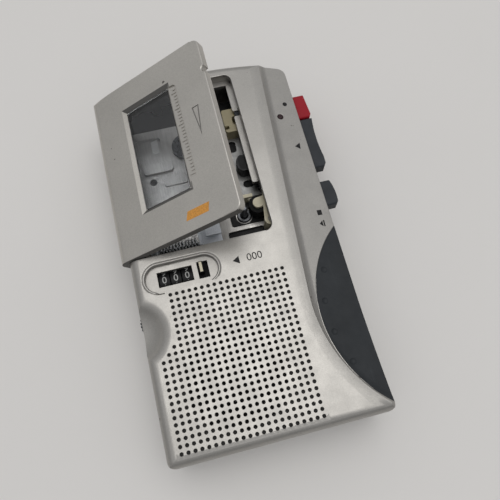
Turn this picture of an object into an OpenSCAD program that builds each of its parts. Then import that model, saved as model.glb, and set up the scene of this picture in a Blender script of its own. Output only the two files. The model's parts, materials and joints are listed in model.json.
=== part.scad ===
// Micro-cassette dictation machine, lying on its back with the cassette lid open.
// X runs to the key side, Y to the microphone end, Z out of the front face.
// The origin is on the back face, under the middle of the case.

/* [Case] */
// Width of the case, across the keys
body_w = 63.6; // [62:0.2:68]
// Reach of the case from the origin to its straight bottom end
bottom_reach = 59.5; // [59:0.5:64]
// Reach of the case from the origin to the crown of its arched top end
top_reach = 60.8; // [60.6:0.2:64]
// Thickness of the case, back to front
body_t = 24; // [24:0.5:27]
// Radius of the arched top end
arch_r = 130; // [120:5:180]
// Corner radius of the outline
corner_r = 2.8; // [2.2:0.2:3.6]
// Rounding of the edges around the front face
front_edge_r = 3; // [2:0.25:3.5]
// Rounding of the edges around the back face
back_edge_r = 1.5; // [0.8:0.1:2]
// Wall thickness of both case halves
wall = 1.6; // [1.4:0.1:1.8]
// Height of the parting line between the case halves
parting_z = 10; // [9.8:0.1:10.4]

/* [Key strip] */
// Distance from the middle of the case to the foot of the step, where its bend starts
strip_x = 17.1; // [16.5:0.1:18]
// Place along the case where the straight step turns into the bend
strip_bend_y = -22.9; // [-26:0.1:-20]
// Lean of the straight step, away from the middle
strip_lean = 4.1; // [3:0.1:5]
// Radius of the bend that carries the step into the bottom corner
strip_bend_r = 43; // [40:1:46]
// Drop from the front face to the strip at the foot of the step
strip_drop = 2.6; // [2.2:0.1:3]
// Fall of the strip towards the key side
strip_fall = 11.3; // [8:0.1:12]
// Radius of the roll-off along the edge of the front face
roll_r = 30; // [24:1:36]
// Width of the roll-off
roll_w = 5.4; // [4.6:0.2:5.6]
// Width of the hollow along the foot of the step
hollow_w = 2.6; // [2:0.1:3]
// Height of that hollow on the step
hollow_rise = 1.4; // [1:0.1:1.6]

/* [Cassette bay] */
// Right edge of the opening in the front face
bay_right = 12.3; // [12:0.1:12.8]
// Lower edge of the opening
bay_bottom = -1; // [-1.4:0.1:-0.8]
// Upper edge of the opening
bay_top = 56.3; // [56:0.1:56.5]
// Corner radius of the opening
bay_corner_r = 2.5; // [2:0.1:3]
// Depth from the front face to the deck
bay_depth = 11; // [10.8:0.1:11.2]
// Width of the ledges around the opening
ledge_w = 1.8; // [1.4:0.1:2]
// Depth from the front face to the top of the ledges
ledge_depth = 3.4; // [3.2:0.1:3.6]
// Thickness of the ledges
ledge_t = 1.4; // [1:0.1:1.6]

/* [Lid] */
// Angle the lid stands open
lid_open = 30; // [20:1:34]
// Gap around the lid in its opening
lid_gap = 0.3; // [0.3:0.05:0.5]
// Thickness of the lid plate
lid_t = 1.8; // [1.6:0.1:2]
// Depth of the rim around the lid, from its face
lid_rim = 2.6; // [2.4:0.1:3]
// Thickness of that rim
lid_rim_t = 1.2; // [1:0.1:1.4]
// Radius of the hinge barrel
barrel_r = 1.8; // [1.7:0.05:1.9]
// Radius of the hinge pin
hinge_pin_r = 0.75; // [0.6:0.05:0.8]
// Depth from the front face to the hinge pin
hinge_depth = 7.2; // [7:0.1:7.6]
// Width of the window
window_w = 16.4; // [14:0.2:18]
// Length of the window
window_l = 34.1; // [30:0.5:36]
// Left edge of the window
window_left = -18.4; // [-19:0.2:-17]
// Lower edge of the window
window_bottom = 12; // [10:0.5:14]
// Depth of the window pane below the face
window_sink = 0.8; // [0.5:0.1:1]
// Width of the bevel around the window
window_bevel = 1.2; // [0.6:0.1:1.6]

/* [Cassette and deck] */
// Width of a micro-cassette
cassette_w = 33; // [32.8:0.1:33.2]
// Length of a micro-cassette
cassette_l = 50; // [49.5:0.1:50.5]
// Middle of the cassette across the case
cassette_x = -7.6; // [-7.8:0.1:-7.4]
// Middle of the cassette along the case
cassette_y = 27.6; // [27:0.1:28]
// Distance between the reel spindles
reel_pitch = 21.5; // [21:0.1:22]
// Radius of a reel table
reel_table_r = 4.6; // [4:0.1:5]
// Radius of a reel spindle between its splines
spindle_r = 2; // [1.8:0.1:2.2]
// Height of a reel spindle above its table
spindle_h = 4.4; // [4:0.1:4.8]
// Radius of a reel shaft
reel_shaft_r = 1.2; // [1:0.1:1.3]
// Place of the capstan across the case
capstan_x = 5.9; // [5.7:0.1:6.1]
// Place of the capstan along the case
capstan_y = 9.4; // [9.2:0.1:9.6]
// Radius of the capstan
capstan_r = 1; // [0.8:0.05:1.1]
// Height of the capstan above the deck
capstan_h = 6.7; // [6:0.1:7]
// Thickness of the steel chassis plate
chassis_t = 1; // [0.8:0.1:1.2]
// Thickness of the black frame under the chassis plate
frame_t = 1.4; // [1.2:0.1:1.6]
// Radius of the flywheel
flywheel_r = 9.5; // [9:0.1:10]
// Radius of the motor can
motor_r = 8; // [7:0.25:8.25]
// Height of the motor can
motor_h = 5.8; // [5.2:0.1:5.9]
// Radius of the pinch roller
roller_r = 3; // [2.8:0.1:3.2]

/* [Keys] */
// How far a key stands out of the side of the case
key_reach = 4.4; // [3.4:0.1:5]
// Travel of a key
key_travel = 2.5; // [2:0.1:2.6]
// Height of the flange that holds a key in the case
key_h = 6.7; // [6.3:0.1:6.9]
// Height of the head of a key
key_head_h = 4.4; // [4:0.1:5]
// Gap around a key in its slot
key_gap = 0.3; // [0.25:0.05:0.4]
// Lower end of the stop key
stop_low = 4.8; // [4.4:0.1:5]
// Length of the stop key
stop_l = 8.8; // [8.4:0.1:9.6]
// Lower end of the play key
play_low = 18.7; // [18:0.1:19]
// Length of the play key
play_l = 18.8; // [18:0.1:18.8]
// Lower end of the record key
record_low = 37.9; // [37.9:0.1:38.2]
// Length of the record key
record_l = 9.1; // [8.5:0.1:9.3]

/* [Tape counter] */
// Length of the recess around the counter
recess_l = 23.3; // [22.5:0.1:24]
// Width of the recess around the counter
recess_w = 9.9; // [9.5:0.1:10.5]
// Depth of the recess
recess_depth = 1.5; // [1.2:0.1:1.7]
// Middle of the recess across the case
recess_x = -17.35; // [-18:0.05:-17]
// Middle of the recess along the case
recess_y = -8.05; // [-8.5:0.05:-7.6]
// Radius of a digit wheel
digit_r = 3.8; // [3.5:0.1:3.9]
// Width of a digit wheel
digit_w = 3.2; // [3:0.1:3.3]
// Distance between digit wheels
digit_pitch = 3.45; // [3.4:0.05:3.6]

/* [Speaker and battery] */
// Distance between the holes of the grille
hole_pitch = 1.85; // [1.8:0.05:1.9]
// Diameter of a hole of the grille
hole_d = 1; // [0.8:0.05:1.1]
// Thickness of the grille plate
grille_t = 0.8; // [0.6:0.1:0.9]
// Place of the speaker across the case
speaker_x = -8.8; // [-9.5:0.1:-8]
// Place of the speaker along the case
speaker_y = -40; // [-41:0.1:-39]
// Radius of the sound opening behind the grille
sound_r = 14.5; // [13:0.25:15]
// Radius of the speaker frame
speaker_r = 16.5; // [16:0.1:17]
// Diameter of a battery cell
cell_d = 14.5; // [14:0.1:14.5]
// Length of a battery cell
cell_l = 50.5; // [50:0.1:50.5]
// Thickness of the battery door
door_t = 1.3; // [1.1:0.1:1.4]

/* [Volume and sockets] */
// Radius of the volume wheel
wheel_r = 6.5; // [6.2:0.1:6.8]
// Thickness of the volume wheel
wheel_t = 3; // [2.6:0.1:3.2]
// How far the volume wheel stands out of the side
wheel_proud = 0.9; // [0.6:0.1:1.4]
// Place of the volume wheel along the case
wheel_y = -18.7; // [-19:0.1:-18.4]
// Radius of the bore of a plug socket
jack_r = 1.8; // [1.75:0.05:1.85]

/* [Hidden] */
$fn = 48;
far = 200;
eps = 0.01;
// Running clearance of a shaft in its bore, and gap between neighbours that move
run = 0.05;
gap = 0.3;

side_x = body_w / 2;
bottom_y = -bottom_reach;
top_y = top_reach;
face_z = body_t;
front_inner_z = face_z - wall;
arch_y = top_y - arch_r;

strip_bend_x0 = strip_x + strip_bend_r * cos(strip_lean);
strip_bend_y0 = strip_bend_y - strip_bend_r * sin(strip_lean);
strip_end_y = top_y + 6;
strip_sweep = 59;
strip_run = (strip_end_y - strip_bend_y) / cos(strip_lean);
// How far the roll-off circle stands above the face, so that it meets the face at an angle
roll_rise = 0.06;
hollow_steps = 5;
strip_span = 26;

deck_z = face_z - bay_depth;
chassis_low = deck_z - chassis_t;
frame_low = chassis_low - frame_t;
ledge_top = face_z - ledge_depth;
ledge_low = ledge_top - ledge_t;

// Width of the recessed strip beside the window
scale_w = 3.4;
lid_left = -side_x;
lid_right = bay_right - lid_gap;
lid_bottom = bay_bottom + lid_gap;
lid_top = bay_top - lid_gap;
lid_inner_z = face_z - lid_t;
lid_rim_z = face_z - lid_rim;
hinge_x = -side_x + barrel_r;
hinge_z = face_z - hinge_depth;
hinge_wall_z = hinge_z - barrel_r - lid_gap;
hinge_bore_r = hinge_pin_r + run;
lid_spring_y = 24;
lid_spring_l = 8;
lid_spring_r = 1.2;
lid_spring_wire = 0.5;

supply_y = cassette_y + reel_pitch / 2;
takeup_y = cassette_y - reel_pitch / 2;
reel_x = cassette_x + 0.6;
table_low = deck_z + gap;
table_t = 1;

floor_z = wall;
flywheel_low = 2.4;
flywheel_t = 3;
groove_low = flywheel_low + 1;
groove_h = 1;
groove_r = flywheel_r - 0.8;
hub_r = 3;
hub_top = 8.6;
drive_low = 6;
drive_t = 2;
takeup_disc_r = 5.5;
drive_gap = 0.15;
axle_x = reel_x - capstan_x;
axle_y = takeup_y - capstan_y;
axle_d = sqrt(axle_x * axle_x + axle_y * axle_y);
idler_r = (axle_d - hub_r - takeup_disc_r) / 2 - drive_gap;
idler_share = (hub_r + drive_gap + idler_r) / axle_d;
idler_x = capstan_x + axle_x * idler_share;
idler_y = capstan_y + axle_y * idler_share;
idler_stud_r = 0.8;
motor_x = 13;
motor_y = 41;
motor_top = frame_low;
motor_low = motor_top - motor_h;
pulley_r = 1.9;
motor_shaft_r = 0.75;
belt_t = 0.7;
belt_gap = 0.1;
belt_low = groove_low + 0.2;
belt_h = groove_h - 0.4;

pinch_x = capstan_x + 4.7;
pinch_y = capstan_y + 0.8;
pivot_x = 13.2;
pivot_y = 4;
pivot_r = 1;
pivot_boss_r = 2.1;
arm_low = deck_z + 5.9;
arm_t = 1;
roller_low = deck_z + 1.2;
roller_pin_r = 0.8;
bush_r = 2.4;
bush_neck_r = bush_r - 0.6;
bush_top = deck_z + 0.9;
bush_low = frame_low - 1.6;

head_plate_low = deck_z + gap;
head_plate_t = 0.8;
head_plate_top = head_plate_low + head_plate_t;
head_top = ledge_low - 0.4;
head_x = capstan_x + 1.3;
guide_pin_r = 1;
guide_pin_x = 13.9;
guide_pin_ys = [17.5, 44];
plate_x1 = guide_pin_x + guide_pin_r + gap + key_travel + 1.2;

spring_x0 = -23.4;
spring_x1 = -10.2;
spring_y = 3.4;
spring_z = deck_z + 2.3;
spring_r = 1.25;
spring_wire = 0.5;

key_top = strip_edge_z() - wall - 0.2;
key_low = key_top - key_h;
key_head_low = key_top - key_head_h;
key_edge_r = 0.7;
key_corner = 0.7;
key_outer = side_x + key_reach;
flange_x1 = side_x - wall - 0.1;
flange_t = 2.6;
flange_x0 = flange_x1 - flange_t;
flange_lap = 1;
guide_x0 = 20.2;
guide_x1 = 21.8;
guide_top = deck_z + 4.4;
key_spring_r = 1.6;
key_spring_wire = 0.5;
key_spring_z = deck_z + 2.4;
tongue_y = 26;
tail_x = 23.8;
tail_hw = 1.6;

// Break in the ledge, where the latch comes through
ledge_break_low = 42;
ledge_break_high = 44;
latch_y = (ledge_break_low + ledge_break_high) / 2;
latch_hw = 0.7;
latch_low = guide_top + gap;
latch_t = 1.2;
ledge_low_y = 17;

counter_y = recess_y - 0.1;
pad_low = face_z - recess_depth - wall;
counter_z = pad_low + 0.3 - digit_r;
counter_x = recess_x - 2;
counter_shaft_r = 0.8;
cheek_t = 0.7;
cheek_in = 1.5 * digit_pitch + 0.2;
counter_window_w = 3 * digit_pitch + 0.15;
counter_window_l = 4.65;
recess_slope = 0.8;
reset_x = recess_x + 5.9;
reset_y = recess_y + 0.7;
reset_w = 1.5;
reset_l = 3.4;
reset_slot_w = 3.3;
reset_slot_l = 5.2;
reset_slot_x = recess_x + 6.4;
reset_slot_y = recess_y + 0.05;

grille_cols = 22;
grille_rows = 24;
grille_x = speaker_x - 10 * hole_pitch;
grille_y = speaker_y + 26.4;
grille_edge = 1.4;
grille_notch_rows = 8;
grille_notch_cols = 3;

cell_play = 0.2;
spring_room = 5.5;
tray_wall = 0.9;
tray_roof = 0.6;
bay_hw = (cell_l + spring_room) / 2;
battery_low = bottom_y + wall + 1.2;
battery_high = battery_low + 2 * (cell_d + cell_play);
tray_top = floor_z + cell_d + cell_play + tray_roof;
door_hw = bay_hw - 0.8;
door_gap = 0.25;
door_high = battery_high - 0.3;
door_sink = 0.15;
tongue_w = 1.4;
tongue_low = 0.7;
tongue_t = 0.6;
contact_t = 0.4;
battery_spring_wire = 0.5;

wheel_x = -side_x - wheel_proud + wheel_r;
wheel_low = deck_z + 1;
wheel_shaft_r = 1.5;
board_low = floor_z + 1;
board_t = 1.2;
board_top = board_low + board_t;
board_x0 = -side_x + wall + 0.8;
board_x1 = -5;
board_y0 = battery_high + tray_wall + 0.8;
board_y1 = top_y - 6.8;
jack_z = board_top + 3.2;
jack_body_w = 7.4;
jack_l = 12;
jack_depth = 11;
jack_nose_r = 2.7;
jack_xs = [-8.5, -19];

mic_x = 24.2;
mic_w = 5.6;
mic_low = 11;
mic_high = 17.2;
mic_flange = 0.9;
mic_flange_t = 1.4;

led_x = 25.5;
led_y = 38.2;
led_r = 0.9;

screw_r = 0.9;
screw_head_r = 1.9;
boss_r = 2.2;
case_screws_at = [[27, -21.5], [-16, -21.5], [25, top_y - 8.8]];
post_r = 2;
low_posts = [[-26.5, 9.5], [17.5, 3.5]];
high_posts = [[-26.5, top_y - 10.3], [17.5, top_y - 9.8]];
// Edges of the black frame under the deck
frame_left = -side_x + wall + 2.4;
frame_right = guide_x1 + 0.6;
frame_top = top_y - 6.8;
// Edges of the deck's steel plate
plate_low_y = 1;
plate_high_y = 47.5;
plate_corner_r = 1.5;
// Raised rib, embossed pad and openings of the deck's steel plate
rib_x0 = -22.5;
rib_x1 = -12.6;
rib_y0 = 30.6;
rib_y1 = 34.2;
rib_h = 1.2;
pad_x0 = -16.6;
pad_x1 = -8.8;
pad_y0 = 25.4;
pad_y1 = 28.6;
pad_h = 0.5;
eye_x = -20;
eye_y = 28;
eye_r = 1.2;
port_x0 = -24;
port_x1 = -15;
port_y0 = 38.5;
port_y1 = 44.5;
// Slots and edges of the head plate
head_plate_y0 = 15.2;
head_plate_y1 = 47;
oval_x0 = 8.2;
oval_x1 = 11.8;
oval_y = 19.9;
oval_hw = 1.3;
notch_x0 = 6.6;
notch_x1 = 9.2;
notch_y0 = 32.4;
notch_y1 = 36.6;
// Record head and erase head
head_y = 25.5;
head_hw = 2.9;
head_l = 4.6;
head_nose_r = 3.4;
head_slit = 0.1;
erase_y0 = 37.6;
erase_y1 = 46.4;
erase_l = 4.6;
erase_slot_y0 = 40.2;
erase_slot_y1 = 43.2;
erase_step = 1.2;
// Slip sheet on the deck
mask_t = 0.2;
mask_x0 = 1.2;
mask_x1 = 15.6;
mask_y0 = 6.3;
mask_y1 = 17;
mask_arm_x0 = 6.2;
mask_arm_x1 = 13.2;
mask_arm_y1 = 37.2;
// Reach of the bar that carries the key springs
guide_y0 = 2;
guide_y1 = 46.6;

// Ball that the thumb scoop follows, and the rounded lip around it
scoop_r = 11;
scoop_x = -side_x - 2.2;
scoop_y = wheel_y - 3.8;
scoop_lift = 6.3;
lip_r = 3.5;
lip_x = sqrt(pow(scoop_r + lip_r, 2) - pow(scoop_lift + lip_r, 2));
lip_step = atan2(lip_x, scoop_lift + lip_r) / 3;
grip_x = 54.5;
grip_y = -30.2;
grip_arc_r = 35.5;
grip_t = 0.8;
grip_low = 11.5;
dimple_r = 1.6;
dimple_depth = 0.35;

silver = [0.74, 0.73, 0.71];
pale_grey = [0.66, 0.66, 0.64];
slate = [0.26, 0.28, 0.31];
black = [0.1, 0.1, 0.11];
steel = [0.62, 0.64, 0.67];
cream = [0.78, 0.74, 0.6];
olive = [0.62, 0.58, 0.42];

function step_x(y) = strip_x + (y - strip_bend_y) * tan(strip_lean);
// Distance from the foot of the step, across the strip
function strip_u(x, y) = y > strip_bend_y
    ? (x - step_x(y)) * cos(strip_lean)
    : strip_bend_r - norm([x - strip_bend_x0, y - strip_bend_y0]);
function strip_z(x, y) = face_z - strip_drop - strip_u(x, y) * tan(strip_fall);
function strip_edge_z() = strip_z(side_x, play_low);

module block(x0, y0, z0, x1, y1, z1) {
    translate([x0, y0, z0]) cube([x1 - x0, y1 - y0, z1 - z0]);
}

module rod_x(y, z, r, x0, x1) {
    translate([x0, y, z]) rotate([0, 90, 0]) cylinder(r = r, h = x1 - x0);
}

module rod_y(x, z, r, y0, y1) {
    translate([x, y0, z]) rotate([-90, 0, 0]) cylinder(r = r, h = y1 - y0);
}

module rod_z(x, y, r, z0, z1) {
    translate([x, y, z0]) cylinder(r = r, h = z1 - z0);
}

module rounded_rect(x0, y0, x1, y1, r) {
    translate([x0 + r, y0]) square([x1 - x0 - 2 * r, y1 - y0]);
    translate([x0, y0 + r]) square([x1 - x0, y1 - y0 - 2 * r]);
    for (x = [x0 + r, x1 - r], y = [y0 + r, y1 - r]) translate([x, y]) circle(r);
}

module slab(x0, y0, x1, y1, r, z0, z1) {
    translate([0, 0, z0]) linear_extrude(z1 - z0) rounded_rect(x0, y0, x1, y1, r);
}

// A slot along X with round ends.
module stadium(x0, x1, y, half, z0, z1) {
    translate([0, 0, z0]) linear_extrude(z1 - z0) {
        translate([x0 + half, y - half]) square([x1 - x0 - 2 * half, 2 * half]);
        for (x = [x0 + half, x1 - half]) translate([x, y]) circle(half);
    }
}

// A slot with round ends and walls that slope in towards its floor.
module sloped_stadium(x0, x1, y, half, slope, low, high) {
    for (x = [x0 + half, x1 - half]) translate([x, y, low])
        cylinder(r1 = half - slope, r2 = half, h = high - low);
    translate([x0 + half, y, 0]) rotate([90, 0, 90]) linear_extrude(x1 - x0 - 2 * half)
        polygon([[slope - half, low], [half - slope, low], [half, high], [-half, high]]);
}

// A wire wound along Z: straight leads at both ends, an even helix between, radius r0 to r1.
function coil_path(r0, r1, length, curls, wire) =
    let (steps = curls * 8, lead = wire, rise = length - 2 * wire)
    concat(
        [[r0, -lead, wire]],
        [for (i = [0 : steps])
            let (a = i * 45, r = r0 + (r1 - r0) * i / steps)
            [r * cos(a), r * sin(a), wire + rise * i / steps]],
        [[r1, lead, length - wire]]
    );

function unit(v) = v / norm(v);

module tube_along(path, r, sides = 6) {
    n = len(path);
    dirs = [for (i = [0 : n - 1]) unit(path[min(i + 1, n - 1)] - path[max(i - 1, 0)])];
    rings = [for (i = [0 : n - 1])
        let (d = dirs[i], u = unit(cross(d, [0, 0, 1])), v = cross(u, d))
        for (s = [0 : sides - 1]) path[i] + r * (cos(s * 360 / sides) * u + sin(s * 360 / sides) * v)];
    skin = [for (i = [0 : n - 2], s = [0 : sides - 1], half = [0, 1])
        let (a = i * sides + s, b = i * sides + (s + 1) % sides)
        half == 0 ? [a, a + sides, b] : [b, a + sides, b + sides]];
    cap0 = [for (s = [1 : sides - 2]) [0, s, s + 1]];
    last = (n - 1) * sides;
    cap1 = [for (s = [1 : sides - 2]) [last, last + s + 1, last + s]];
    polyhedron(points = rings, faces = concat(skin, cap0, cap1));
}

// Least distance between turns one curl apart, less the wire itself.
function coil_gap(path, wire) =
    min([for (i = [1 : len(path) - 10]) norm(path[i + 8] - path[i])]) - wire;

module coil(label, r0, r1, length, curls, wire) {
    path = coil_path(r0, r1, length, curls, wire);
    echo(str(label, " least gap between curls"), coil_gap(path, wire));
    tube_along(path, wire / 2);
}

// Outline of the case seen from the front, drawn in by inset.
module outline(inset) {
    hw = side_x - inset;
    low = bottom_y + inset;
    big = arch_r - inset;
    r = max(corner_r - inset, 0.5);
    cx = hw - r;
    cy = arch_y + sqrt((big - r) * (big - r) - cx * cx);
    out = [cx, cy - arch_y] / norm([cx, cy - arch_y]) * 2 * r;
    difference() {
        intersection() {
            translate([-hw, low]) square([2 * hw, top_y - low + 1]);
            translate([0, arch_y]) circle(big, $fn = 180);
        }
        for (s = [-1, 1]) {
            translate([s * hw, low]) square(2 * r, center = true);
            polygon([[s * cx, cy], [s * (hw + 1), cy], [s * (hw + 1), top_y + 1],
                [s * (cx + 2 * out[0]), cy + 2 * out[1]]]);
        }
    }
    for (s = [-1, 1]) {
        translate([s * cx, low + r]) circle(r);
        translate([s * cx, cy]) circle(r);
    }
}

// Section of a slab with rounded front and back edges, from x0 to x1.
module edge_section(x0, x1) {
    f = front_edge_r;
    b = back_edge_r;
    translate([x0, b]) square([x1 - x0, face_z - b - f]);
    translate([x0 + f, face_z - 2 * f]) square([x1 - x0 - 2 * f, 2 * f]);
    translate([x0 + b, 0]) square([x1 - x0 - 2 * b, 2 * b]);
    for (x = [x0 + f, x1 - f]) translate([x, face_z - f]) circle(f);
    for (x = [x0 + b, x1 - b]) translate([x, b]) circle(b);
}

// Height of the strip at u from the foot of the step, where it is hollowed, against the front face.
function hollow_at(u) = -strip_drop - u * tan(strip_fall) + hollow_rise * pow(1 - u / hollow_w, 2);

// What is cut away in front of the key strip, moved in by inset. The hand is 1 where u runs along the
// sketch's own axis and -1 where it runs against it.
module strip_section(inset, hand) {
    floor_end = strip_span + 1;
    u0 = hand > 0 ? -roll_w : -strip_span;
    roll_u0 = hand > 0 ? -1 : -roll_w;
    translate([-hand * inset, face_z - inset]) difference() {
        translate([u0, -9]) square([strip_span + roll_w, 12]);
        translate([-hand * roll_w, roll_rise - roll_r]) intersection() {
            circle(roll_r, $fn = 120);
            translate([roll_u0, -roll_r]) square([roll_w + 1, 2 * roll_r]);
        }
        polygon([
            [-hand * eps, -12],
            [-hand * eps, hollow_at(0)],
            for (i = [1 : hollow_steps]) let (u = hollow_w * i / hollow_steps) [hand * u, hollow_at(u)],
            [hand * floor_end, -strip_drop - floor_end * tan(strip_fall)],
            [hand * floor_end, -12]
        ]);
    }
}

// Both runs of the strip are drawn in one frame at the start of the bend, so that they meet exactly.
module strip_cut(inset) {
    translate([strip_x, strip_bend_y, 0]) rotate([0, 0, -strip_lean]) {
        translate([0, strip_run, 0]) rotate([90, 0, 0]) linear_extrude(strip_run)
            strip_section(inset, 1);
        translate([strip_bend_r, 0, 0]) rotate_extrude(angle = strip_sweep, start = 180, $fn = 180)
            translate([strip_bend_r, 0]) strip_section(inset, -1);
    }
}

// The whole case as one solid.
module case_form() {
    difference() {
        intersection() {
            linear_extrude(face_z) outline(0);
            translate([0, far, 0]) rotate([90, 0, 0]) linear_extrude(2 * far) edge_section(-side_x, side_x);
            translate([-far, 0, 0]) rotate([90, 0, 90]) linear_extrude(2 * far)
                edge_section(bottom_y, far);
            translate([0, arch_y, 0]) rotate_extrude($fn = 180) intersection() {
                edge_section(-arch_r, arch_r);
                translate([0, -1]) square([arch_r + 1, face_z + 2]);
            }
        }
        strip_cut(0);
    }
}

module case_cavity() {
    difference() {
        translate([0, 0, floor_z]) linear_extrude(face_z - 2 * wall) outline(wall);
        strip_cut(wall);
    }
}

module bay_prism(grow, z0, z1) {
    slab(-far, bay_bottom - grow, bay_right + grow, bay_top + grow, bay_corner_r, z0, z1);
}

module ledge_bar(y0, y1) {
    slab(bay_right - ledge_w, y0, bay_right + 1, y1, 0.6, ledge_low, ledge_top);
    block(bay_right, y0, ledge_low, bay_right + 1, y1, front_inner_z + eps);
}

module bay_ledges() {
    ledge_bar(ledge_low_y, ledge_break_low);
    ledge_bar(ledge_break_high, bay_top - ledge_w);
    slab(bay_right - 16, bay_top - ledge_w, bay_right + 1, bay_top + 1, 0.6, ledge_low, ledge_top);
    block(bay_right - 16, bay_top, ledge_low, bay_right + 1, bay_top + 1, front_inner_z + eps);
}

module grille_area(z0, z1) {
    x0 = grille_x - grille_edge;
    x1 = grille_x + (grille_cols - 1) * hole_pitch + grille_edge;
    y0 = grille_y - (grille_rows - 1) * hole_pitch - grille_edge;
    y1 = grille_y + grille_edge;
    notch_x = grille_x + grille_notch_cols * hole_pitch - grille_edge;
    notch_y = grille_y - (grille_notch_rows - 1) * hole_pitch;
    translate([0, 0, z0]) linear_extrude(z1 - z0)
        polygon([[x0, y0], [x1, y0], [x1, y1], [notch_x, y1], [notch_x, notch_y],
            [x0, notch_y - grille_notch_cols * hole_pitch]]);
}

module scoop(grow) {
    translate([scoop_x, scoop_y, face_z + scoop_lift]) sphere(r = scoop_r + grow, $fn = 96);
}

// A point on the rounded lip of the scoop, by its turn from the level face.
function lip_point(turn) = [lip_x - lip_r * sin(turn), lip_r * (cos(turn) - 1)];

module scoop_lip() {
    high = lip_point(lip_step);
    low = 2 * lip_point(2 * lip_step) - high;
    translate([scoop_x, scoop_y, face_z]) rotate_extrude($fn = 96)
        polygon([[0, 1], [0, low[1]], low, high, [lip_x, 0], [lip_x, 1]]);
}

module grip_region(z0, z1) {
    rod_z(grip_x, grip_y, grip_arc_r, z0, z1);
}

module key_slot(y0, y1) {
    block(side_x - wall - 1, y0 - key_gap, key_head_low - key_gap,
        side_x + 1, y1 + key_gap, key_top + key_gap);
}

module front_case() {
    color(silver) difference() {
        intersection() {
            case_form();
            union() {
                difference() {
                    block(-far, -far, parting_z, far, far, far);
                    case_cavity();
                }
                slab(recess_x - recess_l / 2 - wall, recess_y - recess_w / 2 - wall,
                    recess_x + recess_l / 2 + wall, recess_y + recess_w / 2 + wall, 2,
                    pad_low, front_inner_z + eps);
                bay_ledges();
                scoop(wall - 0.2);
                block(-side_x, bay_bottom - 3.5, hinge_z - 2, hinge_x + 2, bay_bottom, front_inner_z + eps);
                for (p = case_screws_at) rod_z(p[0], p[1], boss_r, parting_z, front_inner_z + eps);
            }
        }
        bay_prism(0, ledge_top, far);
        block(-far, bay_bottom, hinge_wall_z, hinge_x + barrel_r + 1, bay_top, far);
        rod_y(hinge_x, hinge_z, hinge_pin_r + run / 2, bay_bottom - 3, bay_top + 0.7);
        for (p = case_screws_at) rod_z(p[0], p[1], screw_r + run, parting_z - 1, parting_z + 4.5);
        grille_area(face_z - grille_t, far);
        rod_z(speaker_x, speaker_y, sound_r, front_inner_z - 1, far);
        sloped_stadium(recess_x - recess_l / 2, recess_x + recess_l / 2, recess_y, recess_w / 2, recess_slope,
            face_z - recess_depth, face_z + eps);
        block(counter_x - counter_window_w / 2, counter_y - counter_window_l / 2, 0,
            counter_x + counter_window_w / 2, counter_y + counter_window_l / 2, far);
        block(reset_slot_x - reset_slot_w / 2, reset_slot_y - reset_slot_l / 2, 0,
            reset_slot_x + reset_slot_w / 2, reset_slot_y + reset_slot_l / 2, far);
        rod_z(led_x, led_y, led_r + run, front_inner_z - 8, far);
        key_slot(stop_low, stop_low + stop_l);
        key_slot(play_low, record_low + record_l);
        rod_z(wheel_x, wheel_y, wheel_r + gap, wheel_low - gap, wheel_low + wheel_t + gap);
        scoop(0);
        scoop_lip();
        block(mic_x - mic_w / 2, top_y - 8, mic_low, mic_x + mic_w / 2, far, mic_high);
        difference() {
            grip_region(grip_low, far);
            grip_core();
        }
    }
}

// The case drawn in by the thickness of the grip inlay.
module grip_core() {
    intersection() {
        block(-far, bottom_y + grip_t, 0, side_x - grip_t, far, far);
        difference() {
            block(-far, -far, 0, far, far, far);
            translate([0, 0, -grip_t]) strip_cut(0);
        }
    }
}

module thumb_grip() {
    color(slate) difference() {
        intersection() {
            case_form();
            grip_region(grip_low, far);
        }
        grip_core();
        for (i = [0 : 3]) {
            y = grip_y + 14 - i * 9.3;
            x = grip_x - sqrt(grip_arc_r * grip_arc_r - (y - grip_y) * (y - grip_y)) + 2.6;
            translate([x, y, strip_z(x, y) + dimple_r - dimple_depth]) sphere(r = dimple_r);
        }
    }
}

module grille_hole(c, r) {
    rod_z(grille_x + c * hole_pitch, grille_y - r * hole_pitch, hole_d / 2, face_z - grille_t - 1, far);
}

function first_col(r) = r < grille_notch_rows
    ? grille_notch_cols
    : max(0, grille_notch_rows + grille_notch_cols - 1 - r);

module speaker_grille() {
    color(silver) difference() {
        intersection() {
            grille_area(face_z - grille_t, face_z);
            case_form();
        }
        for (r = [0 : grille_rows - 1], c = [first_col(r) : grille_cols - 1]) grille_hole(c, r);
    }
}

module rear_case() {
    color(silver) difference() {
        union() {
            difference() {
                intersection() {
                    case_form();
                    block(-far, -far, 0, far, far, parting_z);
                }
                case_cavity();
            }
            for (p = case_screws_at) rod_z(p[0], p[1], boss_r, floor_z - eps, parting_z);
            for (p = concat(low_posts, high_posts)) rod_z(p[0], p[1], post_r, floor_z - eps, frame_low);
            for (p = [[-20, 15], [-12, 44], [-20, -18]]) rod_z(p[0], p[1], 1.5, floor_z - eps, board_low);
        }
        block(-door_hw - door_gap, bottom_y - 1, -1, door_hw + door_gap, door_high + door_gap, floor_z + 0.2);
        block(-door_hw - tongue_w - door_gap, bottom_y - 1, tongue_low - door_gap,
            door_hw + tongue_w + door_gap, door_high + door_gap, floor_z + 0.2);
        for (p = case_screws_at) {
            rod_z(p[0], p[1], screw_r + run, -1, parting_z + 1);
            rod_z(p[0], p[1], screw_head_r + 0.1, -1, floor_z - 0.2);
        }
        for (p = concat(low_posts, high_posts))
            rod_z(p[0], p[1], screw_r + run, frame_low - 5, frame_low + 1);
        for (x = jack_xs) rod_y(x, jack_z, jack_nose_r + 0.1, top_y - 8, top_y + 1);
    }
}

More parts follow.
